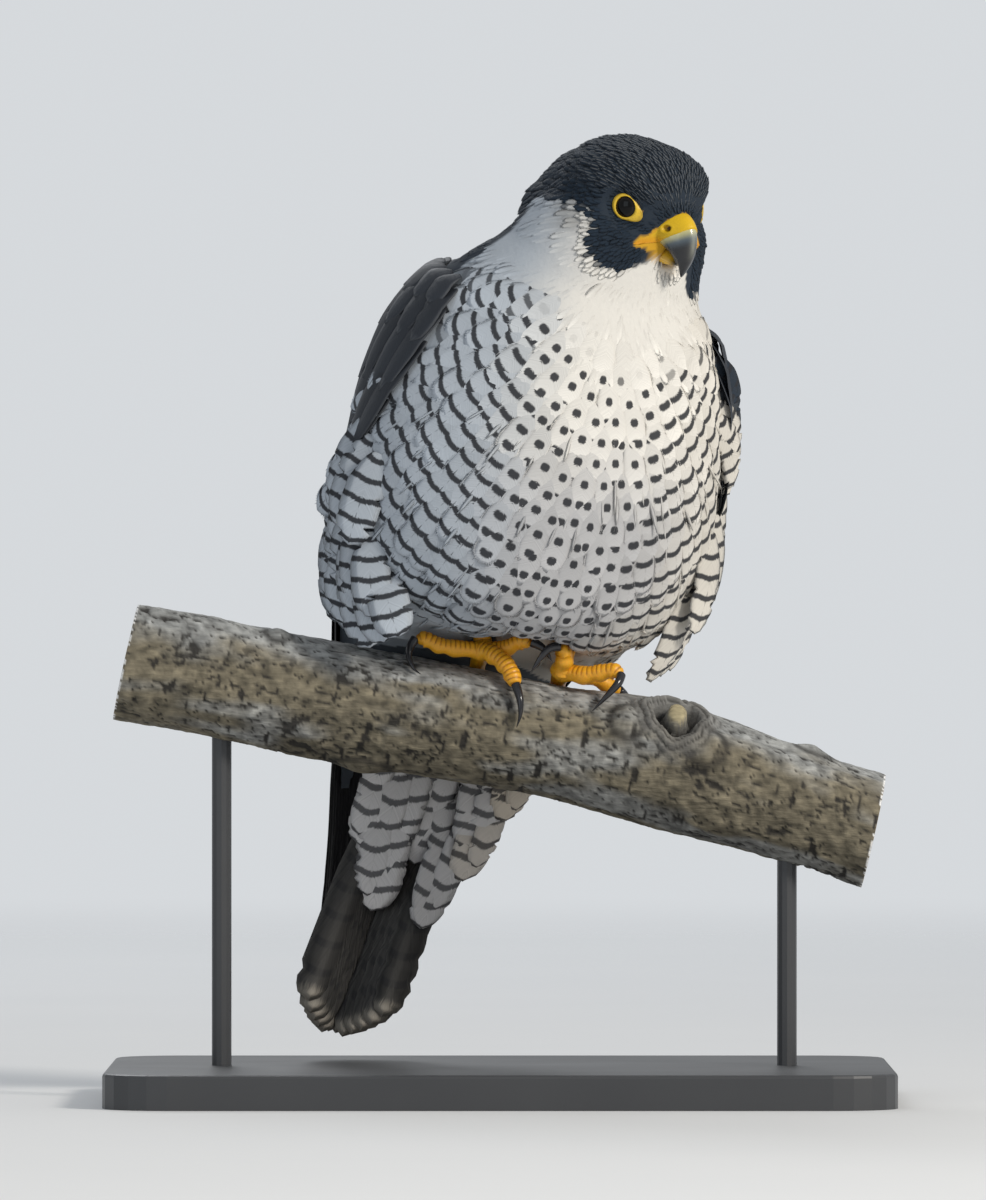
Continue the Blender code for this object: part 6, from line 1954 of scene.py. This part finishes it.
# Distance from the middle of the knot and height there: a stub in a hollow, with a collar around it
KNOT_RISE = ((0, 4.6), (2.6, 4.4), (4.4, 3.2), (5.4, -2.2), (6.6, -5.4), (8.2, -5.0), (9.8, -1.5), (11.2, 1.8),
             (13.4, 3.2), (16.0, 1.9), (18.6, 0.5), (21.5, 0.0))
RINGS, SIDES = 330, 150
BARK_DARK = np.array((0.016, 0.014, 0.012))


def fractal(spots, octaves=3):
    """Smooth noise from about -1 to 1 at many spots."""
    return np.array([noise.fractal(Vector(p), 0.9, 2.1, octaves) for p in spots])


def bark_place(X, T, along, around, shift=0.0, lift=0.0):
    """Places in the space of the noise for spots on the bark, the grain running along X."""
    return np.stack([X * along, np.sin(T) * around + shift, np.cos(T) * around + lift], -1)


def plain_bark(X, T):
    """Height, tone and flakes of the bark: broad swells, cracks along and across the grain, and dark scars."""
    swells = bark_place(X, T, 0.014, 1.3)
    rise = np.array([noise.noise(Vector(p)) * 2.4 + noise.noise(Vector(p) * 2.7) * 1.2 for p in swells])
    rise = rise * np.where((X > -50) & (X < 75), 0.25, 1.0)
    ridge = 1 - np.abs(fractal(bark_place(X, T, 0.05, 5.5))) * 2.2
    slot = smooth(fractal(bark_place(X, T, 0.23, 2.2, 5)), 0.46, 0.60) * smooth(-np.cos(T), -0.85, -0.3)
    crack = np.maximum(smooth(ridge, 0.84, 0.99), slot)
    patch = fractal(bark_place(X, T, 0.028, 1.6, 7))
    scar = smooth(patch, 0.30, 0.52)
    flake = fractal(bark_place(X, T, 0.20, 6.0, 3), 4)
    height = rise + 0.35 * flake - 0.75 * crack * (0.4 + 0.6 * (flake > 0)) - 0.9 * scar * smooth(flake, -0.2, 0.3)
    cloud = fractal(bark_place(X, T, 0.012, 1.1, 3, 9))
    top = smooth(np.cos(T) + 0.35 * patch, 0.30, 0.90)
    top = np.clip(top + 0.75 * smooth(cloud, 0.05, 0.45), 0, 1)[:, None]
    tone = mixed((0.160, 0.138, 0.095), (0.27, 0.275, 0.27), top) * (1 + 0.7 * flake[:, None])
    # Painted shade darkens the cracks; the scars are dark in their own colour
    crack_shade_and_scars = np.clip(crack + 0.95 * scar * smooth(flake, -0.2, 0.25), 0, 0.95)[:, None]
    return height, mixed(tone, BARK_DARK, crack_shade_and_scars), flake


def around_by(T, degrees):
    """How far around the branch each spot is from some angle, in radians."""
    return (T - math.radians(degrees) + math.pi) % math.tau - math.pi


def with_lumps(X, T, height, tone):
    """Rounded lumps, each in a dark ring."""
    for place, turn, long, wide, tall in PERCH_LUMPS:
        away = ((X - place * 1000) / long) ** 2 + (around_by(T, turn) * 27 / wide) ** 2
        height = height + tall * np.exp(-away * 1.1)
        tone = mixed(tone, BARK_DARK, np.exp(-((np.sqrt(away) - 1.05) / 0.25) ** 2)[:, None] * 0.8)
    return height, tone


def with_knot(X, T, height, tone, flake):
    """One knot: a stub of pale dead wood in a hollow darkened with painted shade, with a folded collar of bark around
    it whose folds carry painted shade.
    """
    dx, dy = X - KNOT_PLACE[0] * 1000, around_by(T, KNOT_PLACE[1]) * 29
    swirl = np.arctan2(dy, dx)
    away = np.sqrt(dx * dx + dy * dy) * (1 + 0.10 * np.sin(swirl * 3 + 0.6) + 0.05 * np.sin(swirl * 7))
    stub = np.sqrt((dx / 0.92) ** 2 + (dy / 1.35) ** 2)
    away = np.where(away < 7.0, stub * 0.95, away)
    near = smooth(-away, -23, -15)
    ripple = np.sin(away * 1.9 + 1.2 * np.sin(swirl * 2))
    collar = smooth(away, 9, 11) * near
    height = height * (1 - 0.8 * near) + np.interp(away, *zip(*KNOT_RISE)) + 0.7 * ripple * collar
    tone = mixed(tone, (0.17, 0.165, 0.155), near[:, None] * 0.7)
    # Painted shade in the folds of the collar and at the bottom of the hollow
    tone = mixed(tone, BARK_DARK, 0.8 * (smooth(-ripple, 0.2, 0.9) * collar)[:, None])
    tone = mixed(tone, BARK_DARK * 0.6, np.exp(-((away - 7.4) / 2.0) ** 2)[:, None])
    wood = np.array((0.42, 0.36, 0.22)) * (0.9 + 0.25 * flake[:, None])
    return height, mixed(tone, wood, smooth(-away, -4.8, -3.9)[:, None])


def branch_mesh():
    """Rings of the bark in world metres, and the tone of every point."""
    x = np.linspace(-172, 172, RINGS)
    z, radius = perch_line(x)
    turns = np.linspace(0, math.tau, SIDES, endpoint=False)
    X, T = (grid.ravel() for grid in np.meshgrid(x, turns, indexing="ij"))
    height, tone, flake = plain_bark(X, T)
    height, tone = with_lumps(X, T, height, tone)
    height, tone = with_knot(X, T, height, tone, flake)
    up = np.array((math.sin(PERCH_SLOPE), 0, math.cos(PERCH_SLOPE)))
    out = np.cos(turns)[:, None] * up - np.sin(turns)[:, None] * np.array((0, 1.0, 0))
    centre = np.stack([x, np.zeros_like(x), z], 1)
    spots = centre[:, None] + out[None] * (radius[:, None, None] + height.reshape(RINGS, SIDES, 1))
    return spots / 1000, np.clip(tone, 0.004, 1).reshape(RINGS, SIDES, 3)


spots, tones = branch_mesh()
bark_finish = toned_material("weathered_bark", 0.88, 620.0, 0.0012, 0.5, stretch=4.0)
branch = loft_piece("branch_bark", [(spots, tones)], bark_finish, ("perch_branch",), ends=False)


def sawn_end(rim, outward, steps=40):
    """Points, faces and shares of the radius of a flat sawn face, a hair inside the bark's rim."""
    centre = rim.mean(0)
    verts, radii = [centre + outward * 0.0001], [0.0]
    for share in np.arange(1, steps + 1) / steps:
        verts += list(centre + (rim - centre) * share + outward * 0.0001 * (share < 1))
        radii += [share] * len(rim)
    n = len(rim)
    faces = [(0, 1 + k, 1 + (k + 1) % n) for k in range(n)] + ring_faces(steps, n, start=1, ends=False)
    return verts, faces, radii


def add_ends(item, spots):
    """Closes both ends of the branch with sawn wood."""
    finish, tree, shader = new_material("sawn_wood", 0.8)
    where = object_place(tree)
    share = maths(tree, "MULTIPLY_ADD", noise_at(tree, where, 60.0, 3.0), 0.05, attribute(tree, "share"))
    rings = maths(tree, "SINE", maths(tree, "MULTIPLY", share, 120.0))
    rings = maths(tree, "MULTIPLY_ADD", rings, 0.5, 0.5)
    wood = blend_colours(tree, rings, (0.30, 0.19, 0.095, 1), (0.50, 0.36, 0.20, 1))
    wood = blend_colours(tree, ramp_between(tree, share, 0.945, 0.965), wood, (0.06, 0.045, 0.032, 1))
    heart = one_less(tree, ramp_between(tree, share, 0.02, 0.07))
    wood = blend_colours(tree, heart, wood, (0.10, 0.06, 0.03, 1))
    tree.links.new(wood, shader.inputs["Base Color"])
    tree.links.new(relief(tree, 0.4, 0.0002, noise_at(tree, where, 1500.0, 2.0)), shader.inputs["Normal"])
    along = np.array((math.cos(PERCH_SLOPE), 0, -math.sin(PERCH_SLOPE)))
    bm = bmesh.new()
    bm.from_mesh(item.data)
    layer = bm.verts.layers.float.new("share")
    for rim, outward in ((spots[0], -along), (spots[-1], along)):
        verts, faces, radii = sawn_end(rim, outward)
        made = [bm.verts.new(v) for v in verts]
        for vert, share in zip(made, radii):
            vert[layer] = share
        for face in faces:
            bm.faces.new([made[k] for k in face]).material_index = 1
    bmesh.ops.remove_doubles(bm, verts=bm.verts, dist=1e-7)
    bmesh.ops.recalc_face_normals(bm, faces=bm.faces)
    bm.to_mesh(item.data)
    bm.free()
    item.data.materials.append(finish)


add_ends(branch, spots)

# %% [markdown]
# ## The stand
#
# The stand keeps its solids and wears a satin, nearly black paint with the slight unevenness of a sprayed coat.

# %% Stand paint
finish, tree, shader = new_material("satin_paint", 0.42)
where = object_place(tree)
cloud = noise_at(tree, where, 14.0, 3.0)
shade = blend_colours(tree, cloud, (0.040, 0.042, 0.046, 1), (0.052, 0.054, 0.058, 1))
tree.links.new(shade, shader.inputs["Base Color"])
tree.links.new(maths(tree, "MULTIPLY_ADD", cloud, 0.16, 0.34), shader.inputs["Roughness"])
tree.links.new(relief(tree, 0.25, 0.0001, noise_at(tree, where, 900.0, 3.0)), shader.inputs["Normal"])
for name, node in nodes.items():
    if name.startswith("stand_"):
        node.material_slots[0].material = finish
